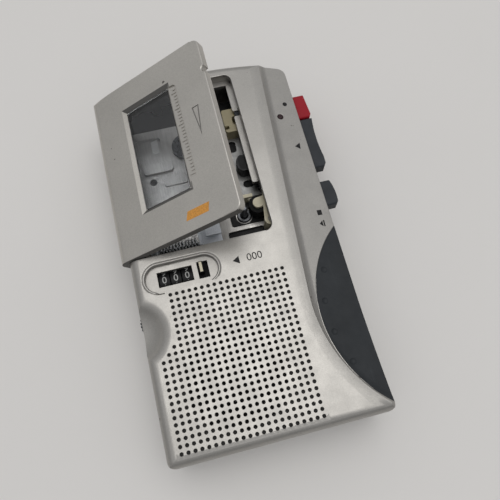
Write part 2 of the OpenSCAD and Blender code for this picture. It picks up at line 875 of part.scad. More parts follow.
module battery_door() {
    color(silver) difference() {
        union() {
            intersection() {
                translate([0, 0, door_sink]) case_form();
                block(-door_hw, bottom_y, door_sink, door_hw, door_high, door_sink + door_t);
            }
            block(-door_hw - tongue_w, bottom_y + 1.5, tongue_low,
                door_hw + tongue_w, door_high, tongue_low + tongue_t);
        }
        for (i = [0 : 4])
            block(-7, bottom_y + 6 + i * 1.6, -1, 7, bottom_y + 6.7 + i * 1.6, door_sink + 0.35);
    }
}

module battery_tray() {
    color(black) difference() {
        block(-bay_hw - tray_wall, battery_low - tray_wall, floor_z,
            bay_hw + tray_wall, battery_high + tray_wall, tray_top);
        block(-bay_hw, battery_low, 0, bay_hw, battery_high, tray_top - tray_roof);
    }
}

module battery_contacts() {
    mid = (battery_low + battery_high) / 2;
    z0 = floor_z + 2.5;
    z1 = floor_z + cell_d - 1;
    color(steel) {
        block(-bay_hw, battery_low + 2, z0, -bay_hw + contact_t, battery_high - 2, z1);
        block(bay_hw - contact_t, battery_low + 2, z0, bay_hw, mid - 1.5, z1);
        block(bay_hw - contact_t, mid + 1.5, z0, bay_hw, battery_high - 2, z1);
    }
}

module battery_springs() {
    z = floor_z + cell_d / 2;
    length = spring_room - 0.9;
    color(steel) {
        translate([-bay_hw + contact_t, battery_high - cell_d / 2 - cell_play, z]) rotate([0, 90, 0])
            coil("battery spring", 3.6, 2.2, length, 3, battery_spring_wire);
        translate([bay_hw - contact_t, battery_low + cell_d / 2 + cell_play, z]) rotate([0, -90, 0])
            coil("battery spring", 3.6, 2.2, length, 3, battery_spring_wire);
    }
}

module case_screws() {
    color(steel) for (p = case_screws_at) {
        rod_z(p[0], p[1], screw_r, floor_z - 0.3, parting_z + 4);
        difference() {
            rod_z(p[0], p[1], screw_head_r, 0.3, floor_z - 0.2);
            block(p[0] - 1.3, p[1] - 0.25, 0, p[0] + 1.3, p[1] + 0.25, 0.7);
            block(p[0] - 0.25, p[1] - 1.3, 0, p[0] + 0.25, p[1] + 1.3, 0.7);
        }
    }
}

module deck_screw(p, z) {
    rod_z(p[0], p[1], screw_r, frame_low - 4, z + 0.4);
    difference() {
        rod_z(p[0], p[1], screw_head_r - 0.2, z, z + 0.9);
        block(p[0] - 1.2, p[1] - 0.25, z + 0.5, p[0] + 1.2, p[1] + 0.25, z + 1);
        block(p[0] - 0.25, p[1] - 1.2, z + 0.5, p[0] + 0.25, p[1] + 1.2, z + 1);
    }
}

module chassis_screws() {
    color(steel) {
        for (p = low_posts) deck_screw(p, deck_z);
        for (p = high_posts) deck_screw(p, chassis_low);
    }
}

// Turns a piece drawn on the closed lid to where the lid stands.
module on_lid() {
    translate([hinge_x, 0, hinge_z]) rotate([0, -lid_open, 0]) translate([-hinge_x, 0, -hinge_z]) children();
}

module lid_outline(shrink, z0, z1) {
    slab(-far, lid_bottom + shrink, lid_right - shrink, lid_top - shrink, bay_corner_r - 0.2, z0, z1);
}

module lid_triangle(half, y_wide, y_tip, z0) {
    translate([0, 0, z0]) linear_extrude(far)
        polygon([[6 - half, y_wide], [6 + half, y_wide], [6, y_tip]]);
}

// A recess with four sloping walls, wider at the face by bevel on each side.
module bevelled_recess(x0, y0, x1, y1, bevel, low) {
    top = face_z + eps;
    intersection() {
        translate([0, far, 0]) rotate([90, 0, 0]) linear_extrude(2 * far)
            polygon([[x0, low], [x1, low], [x1 + bevel, top], [x0 - bevel, top]]);
        translate([-far, 0, 0]) rotate([90, 0, 90]) linear_extrude(2 * far)
            polygon([[y0, low], [y1, low], [y1 + bevel, top], [y0 - bevel, top]]);
    }
}

module cassette_lid() {
    color(silver) on_lid() difference() {
        union() {
            intersection() {
                case_form();
                lid_outline(0, hinge_z, far);
                difference() {
                    block(-far, -far, 0, far, far, far);
                    block(lid_left + wall, lid_bottom + lid_rim_t, 0,
                        lid_right - lid_rim_t, lid_top - lid_rim_t, lid_inner_z);
                    block(lid_left + wall, -far, 0, far, far, lid_rim_z);
                }
            }
            rod_y(hinge_x, hinge_z, barrel_r, lid_bottom, lid_top);
        }
        rod_y(hinge_x, hinge_z, hinge_bore_r, lid_bottom - 1, lid_top + 1);
        rod_y(hinge_x, hinge_z, lid_spring_r + lid_spring_wire, lid_spring_y, lid_spring_y + lid_spring_l);
        block(hinge_x, lid_spring_y, hinge_z - 1.6, hinge_x + 3, lid_spring_y + lid_spring_l, hinge_z + 1.6);
        slab(window_left, window_bottom, window_left + window_w, window_bottom + window_l, 0.6, 0, far);
        bevelled_recess(window_left, window_bottom, window_left + window_w, window_bottom + window_l,
            window_bevel, face_z - window_sink);
        slab(window_left + window_w - 0.6, window_bottom + 1.5, window_left + window_w + scale_w,
            window_bottom + window_l - 0.4, 1.5, face_z - 0.5, far);
        difference() {
            lid_triangle(1.2, 34.8, 25, face_z - 0.25);
            lid_triangle(0.75, 34.45, 27.6, 0);
        }
        rod_z(lid_right, lid_top - 11, 1, 0, far);
    }
}

module lid_window() {
    color([0.75, 0.8, 0.82, 0.35]) on_lid() {
        slab(window_left - 1, window_bottom - 1, window_left + window_w + 1, window_bottom + window_l + 1,
            1, lid_inner_z - 1, lid_inner_z);
        slab(window_left + 0.1, window_bottom + 0.1,
            window_left + window_w - 0.1, window_bottom + window_l - 0.1,
            0.5, lid_inner_z - eps, face_z - window_sink);
    }
}

module cassette_holder() {
    x0 = cassette_x - cassette_w / 2 - 0.2;
    x1 = cassette_x + cassette_w / 2 + 0.1;
    y1 = cassette_y + cassette_l / 2 + 0.3;
    t = 1.1;
    low_y = 3.4;
    shallow = arm_low + arm_t + gap;
    deep = deck_z + 5;
    color(pale_grey) on_lid() {
        block(x1, low_y, shallow, x1 + t, y1 + t, lid_inner_z);
        block(x0 - t, y1, shallow, x1 + t, y1 + t, lid_inner_z);
        block(x0 - t, low_y + 8, deep, x0, y1 + t, lid_inner_z);
        block(x0 - t, low_y + 8, deep, x0 + 0.8, y1 + t, deep + 0.8);
    }
}

module pressure_spring() {
    x0 = cassette_x - cassette_w / 2 + 1;
    r = 60;
    sag = 1.1;
    t = 0.3;
    half = 12;
    color(steel) on_lid() {
        intersection() {
            difference() {
                rod_x(cassette_y, lid_inner_z - sag - t + r, r, x0, x0 + 2.6);
                rod_x(cassette_y, lid_inner_z - sag - t + r, r - t, x0 - 1, x0 + 4);
            }
            block(x0 - 1, cassette_y - half, 0, x0 + 4, cassette_y + half, lid_inner_z);
        }
        block(x0, cassette_y + half - 2, lid_inner_z - 0.6, x0 + 2.6, cassette_y + half + 1.2, lid_inner_z);
    }
}

module hinge_pin() {
    color(steel) rod_y(hinge_x, hinge_z, hinge_pin_r, bay_bottom - 2.8, bay_top + 0.6);
}

module lid_spring() {
    color(steel) translate([hinge_x, lid_spring_y + 0.5, hinge_z]) rotate([-90, 0, 0])
        coil("lid spring", lid_spring_r, lid_spring_r, lid_spring_l - 1, 6, lid_spring_wire);
}

module reel_bore(y) {
    rod_z(reel_x, y, reel_shaft_r + run, 0, far);
}

module chassis_plate() {
    color(steel) difference() {
        union() {
            slab(frame_left, plate_low_y, frame_right, plate_high_y, plate_corner_r, chassis_low, deck_z);
            slab(rib_x0, rib_y0, rib_x1, rib_y1, 1.2, deck_z - eps, deck_z + rib_h);
            slab(pad_x0, pad_y0, pad_x1, pad_y1, 0.8, deck_z - eps, deck_z + pad_h);
            rod_z(pivot_x, pivot_y, pivot_r, deck_z - eps, arm_low + arm_t);
            for (y = guide_pin_ys) rod_z(guide_pin_x, y, guide_pin_r, deck_z - eps, head_plate_top + 0.6);
        }
        slab(capstan_x - 6.5, plate_low_y - 3, capstan_x + 5.4, capstan_y - 4.5, 0.8, 0, far);
        for (y = [supply_y, takeup_y]) reel_bore(y);
        rod_z(capstan_x, capstan_y, bush_neck_r + run / 2, 0, far);
        rod_z(eye_x, eye_y, eye_r, 0, far);
        for (p = low_posts) rod_z(p[0], p[1], screw_r + run, 0, far);
        slab(port_x0, port_y0, port_x1, port_y1, 1.2, 0, far);
    }
}

module mech_frame() {
    color(black) difference() {
        union() {
            slab(frame_left, plate_low_y - 1, frame_right, frame_top, plate_corner_r, frame_low, chassis_low);
            rod_z(idler_x, idler_y, idler_stud_r, drive_low - 0.4, frame_low + eps);
        }
        for (y = [supply_y, takeup_y]) reel_bore(y);
        rod_z(capstan_x, capstan_y, bush_neck_r + run / 2, 0, far);
        rod_z(motor_x, motor_y, motor_shaft_r + 1, 0, far);
        for (p = concat(low_posts, high_posts)) rod_z(p[0], p[1], screw_r + run, 0, far);
    }
}

module reel(y, disc_r, disc_low, disc_t) {
    table_top = table_low + table_t;
    difference() {
        union() {
            rod_z(reel_x, y, disc_r, disc_low, disc_low + disc_t);
            rod_z(reel_x, y, reel_shaft_r, disc_low, table_top);
            rod_z(reel_x, y, reel_table_r, table_low, table_top);
            rod_z(reel_x, y, spindle_r, table_top - eps, table_top + spindle_h - 1);
            translate([reel_x, y, table_top + spindle_h - 1]) cylinder(r1 = spindle_r, r2 = 0.8, h = 1);
            for (i = [0 : 5]) translate([reel_x, y, table_top - eps]) rotate([0, 0, i * 60])
                block(0, -0.4, 0, spindle_r + 0.6, 0.4, spindle_h - 1.4);
        }
        for (i = [0 : 5]) translate([reel_x, y, table_top - 0.4]) rotate([0, 0, i * 60 + 30])
            translate([reel_table_r - 1.1, 0, 0]) cylinder(r = 0.5, h = 1);
    }
}

module supply_reel() {
    color(slate) reel(supply_y, 2.6, frame_low - 1, 0.7);
}

module takeup_reel() {
    color(slate) reel(takeup_y, takeup_disc_r, drive_low, drive_t);
}

module idler_wheel() {
    color(black) difference() {
        rod_z(idler_x, idler_y, idler_r, drive_low, drive_low + drive_t);
        rod_z(idler_x, idler_y, idler_stud_r + run, 0, far);
    }
}

module capstan_shaft() {
    tip = 0.4;
    color(steel) {
        rod_z(capstan_x, capstan_y, capstan_r, flywheel_low - 0.3, deck_z + capstan_h - tip);
        translate([capstan_x, capstan_y, deck_z + capstan_h - tip])
            cylinder(r1 = capstan_r, r2 = capstan_r - tip, h = tip);
    }
}

module flywheel() {
    top = flywheel_low + flywheel_t;
    color([0.72, 0.6, 0.32]) translate([capstan_x, capstan_y, 0]) rotate_extrude()
        polygon([[capstan_r, flywheel_low], [flywheel_r, flywheel_low], [flywheel_r, groove_low],
            [groove_r, groove_low + 0.1], [groove_r, groove_low + groove_h - 0.1],
            [flywheel_r, groove_low + groove_h],
            [flywheel_r, top], [flywheel_r - 2, top], [flywheel_r - 2.6, top - 0.8], [hub_r + 0.6, top - 0.8],
            [hub_r, top - 0.2], [hub_r, hub_top], [capstan_r, hub_top]]);
}

module capstan_bush() {
    inner = capstan_r + run;
    color(steel) translate([capstan_x, capstan_y, 0]) rotate_extrude()
        polygon([[inner, bush_low], [bush_neck_r, bush_low], [bush_neck_r, deck_z], [bush_r, deck_z],
            [bush_r, bush_top - 0.3], [bush_r - 0.3, bush_top], [inner + 0.5, bush_top],
            [inner, bush_top - 0.3]]);
}

module motor() {
    color(steel) difference() {
        union() {
            rod_z(motor_x, motor_y, motor_r, motor_low + 0.4, motor_top);
            rod_z(motor_x, motor_y, motor_r - 0.5, motor_low, motor_low + 1);
        }
        rod_z(motor_x, motor_y, motor_shaft_r + run, motor_low - 1, motor_top - 1);
        for (a = [0, 180]) translate([motor_x, motor_y, 0]) rotate([0, 0, a])
            rod_z(5, 0, 0.8, motor_low - 1, motor_low + 0.8);
    }
}

module motor_pulley() {
    low = flywheel_low;
    color(black) translate([motor_x, motor_y, 0]) rotate_extrude()
        polygon([[0, low], [pulley_r + 0.6, low], [pulley_r + 0.6, groove_low - 0.3], [pulley_r, groove_low],
            [pulley_r, groove_low + groove_h], [pulley_r + 0.5, groove_low + groove_h + 0.2],
            [motor_shaft_r, groove_low + groove_h + 0.2], [motor_shaft_r, motor_low + 3],
            [0, motor_low + 3]]);
}

module belt_loop(grow) {
    hull() {
        translate([capstan_x, capstan_y]) circle(groove_r + belt_gap + grow);
        translate([motor_x, motor_y]) circle(pulley_r + belt_gap + grow);
    }
}

module drive_belt() {
    color(black) translate([0, 0, belt_low]) linear_extrude(belt_h) difference() {
        belt_loop(belt_t);
        belt_loop(0);
    }
}

module head_plate() {
    low = head_plate_low;
    top = head_plate_top;
    play = guide_pin_r + gap;
    color(steel) difference() {
        union() {
            slab(head_x - 1.4, head_plate_y0, plate_x1, head_plate_y1, 1.2, low, top);
            block(plate_x1 - 1, tongue_y - tail_hw, low, tail_x, tongue_y + tail_hw, top);
        }
        for (y = guide_pin_ys)
            stadium(guide_pin_x - play, guide_pin_x + play + key_travel, y, play, 0, far);
        stadium(oval_x0, oval_x1, oval_y, oval_hw, 0, far);
        slab(notch_x0, notch_y0, notch_x1, notch_y1, 1, 0, far);
    }
}

module record_head() {
    x1 = head_x + head_l;
    nose = head_nose_r;
    color([0.45, 0.46, 0.48]) {
        difference() {
            intersection() {
                block(head_x, head_y - head_hw, head_plate_top, x1, head_y + head_hw, head_top);
                rod_z(head_x + nose, head_y, nose, 0, far);
            }
            block(head_x - 1, head_y - head_slit, head_plate_top + 0.8,
                head_x + 0.5, head_y + head_slit, head_top - 0.8);
        }
        block(head_x + nose - eps, head_y - head_hw, head_plate_top, x1, head_y + head_hw, head_top);
    }
}

module erase_head() {
    x0 = head_x - 0.4;
    color(olive) difference() {
        slab(x0, erase_y0, x0 + erase_l, erase_y1, 0.8, head_plate_top, head_top);
        slab(x0 + erase_l - 1.6, erase_slot_y0, x0 + erase_l + 2, erase_slot_y1, 0.6,
             head_plate_top + 1, far);
        block(x0 - 1, erase_y0 + erase_step, head_plate_top + 2.2, x0 + 1.4, erase_y0 + 2 * erase_step, far);
    }
}

module tape_guide() {
    x = capstan_x + 0.1;
    y = capstan_y + 4.3;
    low = deck_z + mask_t;
    color(cream) difference() {
        slab(x, y, x + 3.8, y + 1.2, 0.3, low, low + 4.2);
        block(x + 2.2, y - 1, low + 1, x + 5, y + 3, low + 3.2);
    }
}

// The black slip sheet that lies on the steel plate, under the head plate and around the capstan.
module deck_mask() {
    top = deck_z + mask_t;
    color(black) difference() {
        union() {
            slab(mask_x0, mask_y0, mask_x1, mask_y1, 0.8, deck_z, top);
            slab(mask_arm_x0, mask_y1 - 2, mask_arm_x1, mask_arm_y1, 0.8, deck_z, top);
        }
        rod_z(capstan_x, capstan_y, bush_r + gap, 0, far);
        rod_z(guide_pin_x, guide_pin_ys[0], guide_pin_r + gap, 0, far);
    }
}

module pinch_arm() {
    low = deck_z + gap;
    top = arm_low + arm_t;
    color(cream) difference() {
        union() {
            rod_z(pivot_x, pivot_y, pivot_boss_r, low, top);
            hull() {
                rod_z(pivot_x, pivot_y, pivot_boss_r, arm_low, top);
                rod_z(pivot_x + 0.6, pinch_y + 2.6, 1.2, arm_low, top);
            }
            hull() {
                rod_z(pinch_x, pinch_y, 1.7, arm_low, top);
                rod_z(pivot_x + 0.4, pinch_y + 0.6, 1.4, arm_low, top);
            }
            rod_z(pinch_x, pinch_y, roller_pin_r, roller_low - 0.4, arm_low + eps);
        }
        rod_z(pivot_x, pivot_y, pivot_r + run, 0, far);
    }
}

module pinch_roller() {
    color(black) difference() {
        rod_z(pinch_x, pinch_y, roller_r, roller_low, arm_low - gap);
        rod_z(pinch_x, pinch_y, roller_pin_r + run, 0, far);
    }
}

module brake_spring() {
    color(steel) translate([spring_x0, spring_y, spring_z]) rotate([0, 90, 0])
        coil("brake spring", spring_r, spring_r, spring_x1 - spring_x0, 12, spring_wire);
}

// Bent steel strip that carries both ends of the brake spring.
module spring_bracket() {
    t = 0.8;
    h = 4.2;
    foot = deck_z;
    color([0.72, 0.76, 0.8]) {
        block(spring_x0 - 2.6, spring_y - 1.8, foot, spring_x0, spring_y + 1.8, foot + t);
        block(spring_x0 - t, spring_y - 1.8, foot, spring_x0, spring_y + 1.8, foot + h);
        block(spring_x1, spring_y - 1.8, foot, spring_x1 + t, spring_y + 1.8, foot + h);
        slab(spring_x1, spring_y - 1.8, spring_x1 + 7.4, spring_y + 4.2, 0.3, foot, foot + t);
        block(spring_x1 + 2.4, spring_y + 3.4, foot, spring_x1 + 7.4, spring_y + 4.2, foot + h);
        block(spring_x1 + 2.4, spring_y + 0.6, foot + h - t, spring_x1 + 7.4, spring_y + 4.2, foot + h);
    }
}

module lid_latch() {
    x0 = bay_right - ledge_w + 0.4;
    x1 = guide_x1 - 0.2;
    color(slate) {
        block(x0 + 1.2, latch_y - latch_hw, latch_low, x1, latch_y + latch_hw, latch_low + latch_t);
        block(x0 + 1.2, latch_y - latch_hw, latch_low, x0 + 2.4, latch_y + latch_hw, ledge_top - 0.2);
        block(x0, latch_y - latch_hw, ledge_top - 1, x0 + 2.4, latch_y + latch_hw, ledge_top - 0.2);
    }
}

// Head of a key, which reaches to low_x at its lower end and to high_x at its upper end.
module key_head(y0, y1, low_x, high_x) {
    intersection() {
        translate([0, 0, key_head_low]) linear_extrude(key_head_h) polygon([
            [flange_x1 - eps, y0],
            [low_x - key_corner, y0],
            [low_x, y0 + 1.5 * key_corner],
            [high_x, y1],
            [flange_x1 - eps, y1]
        ]);
        translate([-far, 0, 0]) rotate([90, 0, 90]) linear_extrude(2 * far)
            rounded_rect(y0, key_head_low, y1, key_top, key_edge_r);
    }
}

module stop_key() {
    y0 = stop_low;
    y1 = stop_low + stop_l;
    dome_r = 18;
    color(slate) {
        intersection() {
            key_head(y0, y1, key_outer, key_outer);
            rod_z(key_outer - dome_r, y0 + stop_l * 0.35, dome_r, 0, far);
        }
        block(flange_x0, y0 - flange_lap, key_low, flange_x1, y1 + flange_lap, key_top);
    }
}

module play_key() {
    y0 = play_low;
    y1 = play_low + play_l;
    dish_r = 50;
    color(slate) {
        difference() {
            key_head(y0, y1, key_outer, key_outer + 0.3);
            rod_z(key_outer + dish_r - 0.4, y0 + play_l * 0.55, dish_r, 0, far);
        }
        block(flange_x0, y0 - flange_lap, key_low, flange_x1, y1 - gap, key_top);
        block(tail_x + gap, tongue_y - tail_hw, head_plate_low,
            flange_x0 + eps, tongue_y + tail_hw, head_plate_top);
    }
}

module record_key() {
    y0 = record_low;
    y1 = record_low + record_l;
    color([0.72, 0.13, 0.12]) {
        key_head(y0, y1, key_outer + 0.4, key_outer - 0.2);
        block(flange_x0, y0 + gap, key_low, flange_x1, y1 + flange_lap, key_top);
    }
}

module key_guide() {
    slot = tail_hw + gap;
    color(black) difference() {
        block(guide_x0, guide_y0, deck_z, guide_x1, guide_y1, guide_top);
        block(guide_x0 - 1, tongue_y - slot, 0, guide_x1 + 1, tongue_y + slot, head_plate_top + gap);
    }
}

module key_spring(label, y) {
    color(steel) translate([guide_x1, y, key_spring_z]) rotate([0, 90, 0])
        coil(label, key_spring_r, key_spring_r, flange_x0 - guide_x1, 4, key_spring_wire);
}

module record_spring() {
    key_spring("record spring", record_low + record_l / 2);
}

module play_spring() {
    key_spring("play spring", play_low + play_l * 0.78);
}

module stop_spring() {
    key_spring("stop spring", stop_low + stop_l / 2);
}

module counter_frame() {
    y0 = counter_y - 2.8;
    y1 = counter_y + digit_r + 1;
    z0 = counter_z - 2;
    out = cheek_in + cheek_t;
    color(black) {
        block(counter_x - out, y0, z0, counter_x - cheek_in, y1, pad_low);
        block(counter_x + cheek_in, y0, z0, counter_x + out, y1, pad_low);
        block(counter_x - out, y1 - cheek_t, z0, counter_x + out, y1, pad_low);
        rod_x(counter_y, counter_z, counter_shaft_r, counter_x - out, counter_x + out);
    }
}

// A digit wheel, counted from the left, with a dished face on each side.
module counter_wheel(i) {
    x = counter_x + (i - 1) * digit_pitch;
    half = digit_w / 2;
    dish = 0.4;
    color(black) translate([x, counter_y, counter_z]) rotate([0, 90, 0]) rotate_extrude()
        polygon([[counter_shaft_r + run, -half], [1.8, -half], [1.8, dish - half],
            [digit_r - 0.8, dish - half],
            [digit_r - 0.8, -half], [digit_r, -half], [digit_r, half], [digit_r - 0.8, half],
            [digit_r - 0.8, half - dish], [1.8, half - dish], [1.8, half], [counter_shaft_r + run, half]]);
}

module counter_wheel_hundreds() {
    counter_wheel(0);
}

module counter_wheel_tens() {
    counter_wheel(1);
}

module counter_wheel_units() {
    counter_wheel(2);
}

module reset_button() {
    flange_top = pad_low - gap;
    lap = 0.2;
    color(cream) {
        slab(reset_x - reset_w / 2, reset_y - reset_l / 2, reset_x + reset_w / 2, reset_y + reset_l / 2,
            0.35, flange_top - eps, face_z - 0.3);
        block(reset_slot_x - reset_slot_w / 2 - lap, reset_slot_y - reset_slot_l / 2 - lap, flange_top - 1,
            reset_slot_x + reset_slot_w / 2 + lap, reset_slot_y + reset_slot_l / 2 + lap, flange_top);
    }
}

module volume_wheel() {
    ribs = 40;
    color(slate) difference() {
        union() {
            rod_z(wheel_x, wheel_y, wheel_r, wheel_low, wheel_low + wheel_t);
            rod_z(wheel_x, wheel_y, wheel_shaft_r, board_top + 2, wheel_low + eps);
        }
        for (i = [0 : ribs - 1]) translate([wheel_x, wheel_y, 0]) rotate([0, 0, i * 360 / ribs])
            rod_z(wheel_r, 0, 0.3, 0, far);
    }
}

module volume_pot() {
    color(black) difference() {
        union() {
            rod_z(wheel_x, wheel_y, 3.6, board_top, wheel_low - gap);
            block(wheel_x - 3, wheel_y - 3, board_top, wheel_x + 6, wheel_y + 3, board_top + 4);
        }
        rod_z(wheel_x, wheel_y, wheel_shaft_r + run, board_top + 1.8, far);
    }
}

module circuit_board() {
    color([0.2, 0.42, 0.24]) difference() {
        slab(board_x0, board_y0, board_x1, board_y1, 1, board_low, board_top);
        for (p = concat(low_posts, high_posts)) rod_z(p[0], p[1], post_r + 0.4, 0, far);
        for (p = case_screws_at) rod_z(p[0], p[1], boss_r + 0.4, 0, far);
    }
}

module speaker_frame() {
    rim = front_inner_z;
    low = tray_top + 0.2;
    magnet_r = 8.5;
    seat_r = speaker_r - 1.6;
    color(steel) translate([speaker_x, speaker_y, 0]) rotate_extrude()
        polygon([[0, low], [magnet_r, low], [magnet_r, low + 1.4], [magnet_r + 1.5, low + 1.4],
            [speaker_r - 0.4, rim - 1.3], [speaker_r, rim - 1], [speaker_r, rim], [seat_r, rim],
            [seat_r, rim - 0.6], [seat_r - 1, rim - 0.6], [magnet_r + 1, low + 2], [0, low + 2]]);
}

module speaker_cone() {
    rim = front_inner_z - 0.6;
    low = tray_top + 2.4;
    seat_r = speaker_r - 1.7;
    cap_r = 5;
    t = 0.35;
    color(black) translate([speaker_x, speaker_y, 0]) rotate_extrude()
        polygon([[0, low + 0.7], [cap_r, low], [seat_r - 1.4, rim], [seat_r, rim], [seat_r, rim + t],
            [seat_r - 1.6, rim + t], [cap_r + 0.2, low + t], [0, low + 0.7 + t]]);
}

module led_lens() {
    top = strip_z(led_x, led_y) + 0.1;
    color([0.4, 0.05, 0.08]) rod_z(led_x, led_y, led_r, top - 2.4, top);
}

module mic_cap() {
    y_out = top_y - 0.2;
    y_wall = arch_y + sqrt(pow(arch_r - wall, 2) - pow(mic_x + mic_w / 2 + 1, 2)) - 0.2;
    play = 0.1;
    color(pale_grey) difference() {
        union() {
            translate([0, y_out, 0]) rotate([90, 0, 0]) linear_extrude(y_out - y_wall + 1)
                rounded_rect(mic_x - mic_w / 2 + play, mic_low + play,
                    mic_x + mic_w / 2 - play, mic_high - play, 1.5);
            block(mic_x - mic_w / 2 - mic_flange, y_wall - mic_flange_t, mic_low - mic_flange,
                mic_x + mic_w / 2 + mic_flange, y_wall, mic_high + mic_flange);
        }
        for (i = [-1 : 1])
            block(mic_x + i * 1.4 - 0.3, y_out - 1.2, mic_low + 1.6,
                mic_x + i * 1.4 + 0.3, far, mic_high - 1.6);
    }
}

function arch_at(x, inset) = arch_y + sqrt(pow(arch_r - inset, 2) - x * x);

module jack(x) {
    y_in = arch_at(abs(x) + jack_body_w / 2, wall) - 0.2;
    y_out = arch_at(abs(x) + jack_nose_r, 0) - 0.1;
    color(black) difference() {
        union() {
            block(x - jack_body_w / 2, y_in - jack_l, board_top, x + jack_body_w / 2, y_in, jack_z + 3.2);
            rod_y(x, jack_z, jack_nose_r, y_in - eps, y_out);
        }
        rod_y(x, jack_z, jack_r, y_out - jack_depth, y_out + 1);
    }
}

module ear_jack() {
    jack(jack_xs[0]);
}

module mic_jack() {
    jack(jack_xs[1]);
}

front_case();
rear_case();
speaker_grille();
thumb_grip();
battery_tray();
battery_door();
battery_contacts();
battery_springs();
case_screws();
chassis_screws();
cassette_lid();
lid_window();
cassette_holder();
pressure_spring();
hinge_pin();
lid_spring();
chassis_plate();
mech_frame();
supply_reel();
takeup_reel();
idler_wheel();
capstan_shaft();
flywheel();
capstan_bush();
motor();
motor_pulley();
drive_belt();
head_plate();
record_head();
erase_head();
tape_guide();
deck_mask();
pinch_arm();
pinch_roller();
brake_spring();
spring_bracket();
lid_latch();
record_key();
play_key();
stop_key();
key_guide();
record_spring();
play_spring();
stop_spring();
counter_frame();
counter_wheel_units();
counter_wheel_tens();
counter_wheel_hundreds();
reset_button();
volume_wheel();
volume_pot();
circuit_board();
speaker_frame();
speaker_cone();
led_lens();
mic_cap();
ear_jack();
mic_jack();
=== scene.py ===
"""Looks of a micro-cassette dictation machine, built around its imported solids.

Lengths are in millimetres, as in the part's source. The room around the part is in metres.
"""

import json
import math

import bmesh
import bpy
import mathutils
from mathutils import Matrix, Vector


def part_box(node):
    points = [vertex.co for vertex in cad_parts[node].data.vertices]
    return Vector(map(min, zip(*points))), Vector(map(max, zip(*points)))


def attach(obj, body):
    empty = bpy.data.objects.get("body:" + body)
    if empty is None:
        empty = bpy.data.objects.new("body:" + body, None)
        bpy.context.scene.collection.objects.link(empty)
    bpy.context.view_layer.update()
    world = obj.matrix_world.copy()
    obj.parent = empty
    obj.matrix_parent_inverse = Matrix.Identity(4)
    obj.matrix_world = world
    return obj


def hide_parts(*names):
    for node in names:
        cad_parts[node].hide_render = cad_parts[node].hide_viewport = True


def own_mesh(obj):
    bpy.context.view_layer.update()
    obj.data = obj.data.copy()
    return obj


MM = 0.001

# The front face, its panel of speaker holes and its rounded bottom edge.
FACE_Z = 24.0
PANEL_T = 0.8
BOTTOM_Y = -59.5
EDGE_R = 3.0

# The face rolls off to a leaning step that bends below STEP_Y. The key strip falls away from its foot.
ROLL_R = 30.0
ROLL_W = 5.4
ROLL_RISE = 0.06
STEP_X = 17.1
STEP_Y = -22.9
STEP_LEAN = math.radians(4.1)
BEND_R = 43.0
STRIP_DROP = 2.6
STRIP_FALL = math.radians(11.3)

# The lid stands open about its hinge.
HINGE = Vector((-30.0, 0.0, 16.8))
LID_OPEN = math.radians(30)
TO_SHUT = Matrix.Rotation(LID_OPEN, 3, "Y")
TO_OPEN = Matrix.Rotation(-LID_OPEN, 3, "Y")
LID_FREE_X = 9.65

# Areas seen from the front, as x0, y0, x1, y1. Those on the lid are given as the shut lid lies.
# FAR is past the case on every side.
FAR = 100.0
RECESS_RIM = (-FAR, -12.1, -5.4, -2.8)
RECESS = (-29.2, -13.2, -5.5, -2.9)
BAY_RIM = (9.7, -1.2, FAR, FAR)
WINDOW = (-19.8, 10.6, -0.6, 47.5)
TRIANGLE = (1.6, 24.5, FAR, 35.2)
BUTTON_CORE = (-11.85, -8.85, -11.05, -5.85)
PORT = (-24.2, 38.3, -14.8, 44.7)

# The deck: the height of the frame's top, the end of the pinch lever's black part, and the bands across
# the head plate that are painted black as painted shade, where dark gaps lie between the deck's parts.
FRAME_Z = 12.0
LEVER_X = 11.9
PLATE_SHADE_BANDS = ((14.9, 17.6), (24.6, 31.4), (33.0, 34.4), (38.6, 40.0))

# The panel's grid of holes starts at its upper left. The first NOTCH_ROWS rows lack their first
# NOTCH_COLS holes, and the rows below them fill up one by one.
GRID_X = -27.3
GRID_Y = -13.6
PITCH = 1.85
ROWS = 24
COLS = 22
NOTCH_ROWS = 8
NOTCH_COLS = 3
PANEL_EDGE = 1.4

# Points closer than WELD are joined and faces flatter than FLAT are merged. Edges sharper than SHARP
# are rounded, EDGE_WIDTH wide unless WIDTH says more. A face looks up if its normal rises past LOOKS_UP.
WELD = 0.001
FLAT = math.radians(0.6)
SHARP = math.radians(32)
EDGE_WIDTH = 0.1
EDGE_SEGMENTS = 2
LOOKS_UP = 0.9

# Where most of a noise's values lie.
MIDDLE = (0.3, 0.7)

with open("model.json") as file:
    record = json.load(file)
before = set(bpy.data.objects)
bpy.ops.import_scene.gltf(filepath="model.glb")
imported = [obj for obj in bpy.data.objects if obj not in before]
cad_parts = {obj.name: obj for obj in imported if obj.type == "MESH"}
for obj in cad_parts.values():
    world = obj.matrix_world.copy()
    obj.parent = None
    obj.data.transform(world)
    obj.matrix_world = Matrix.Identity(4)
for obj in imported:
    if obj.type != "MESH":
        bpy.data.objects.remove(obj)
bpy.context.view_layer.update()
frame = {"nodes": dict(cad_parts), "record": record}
nodes = frame["nodes"]
body_of_node = {n: b for b, members in frame["record"]["behaviour"]["bodies"].items() for n in members}


def fill(node, **values):
    """Sets the inputs of a shader node. A name has _ where the input's has a space."""
    for key, value in values.items():
        node.inputs[key.replace("_", " ")].default_value = value


def shade(color, factor):
    """A colour made darker or lighter."""
    return tuple(min(1.0, c * factor) for c in color)


def grey(value):
    """A neutral colour."""
    return (value, value, value)


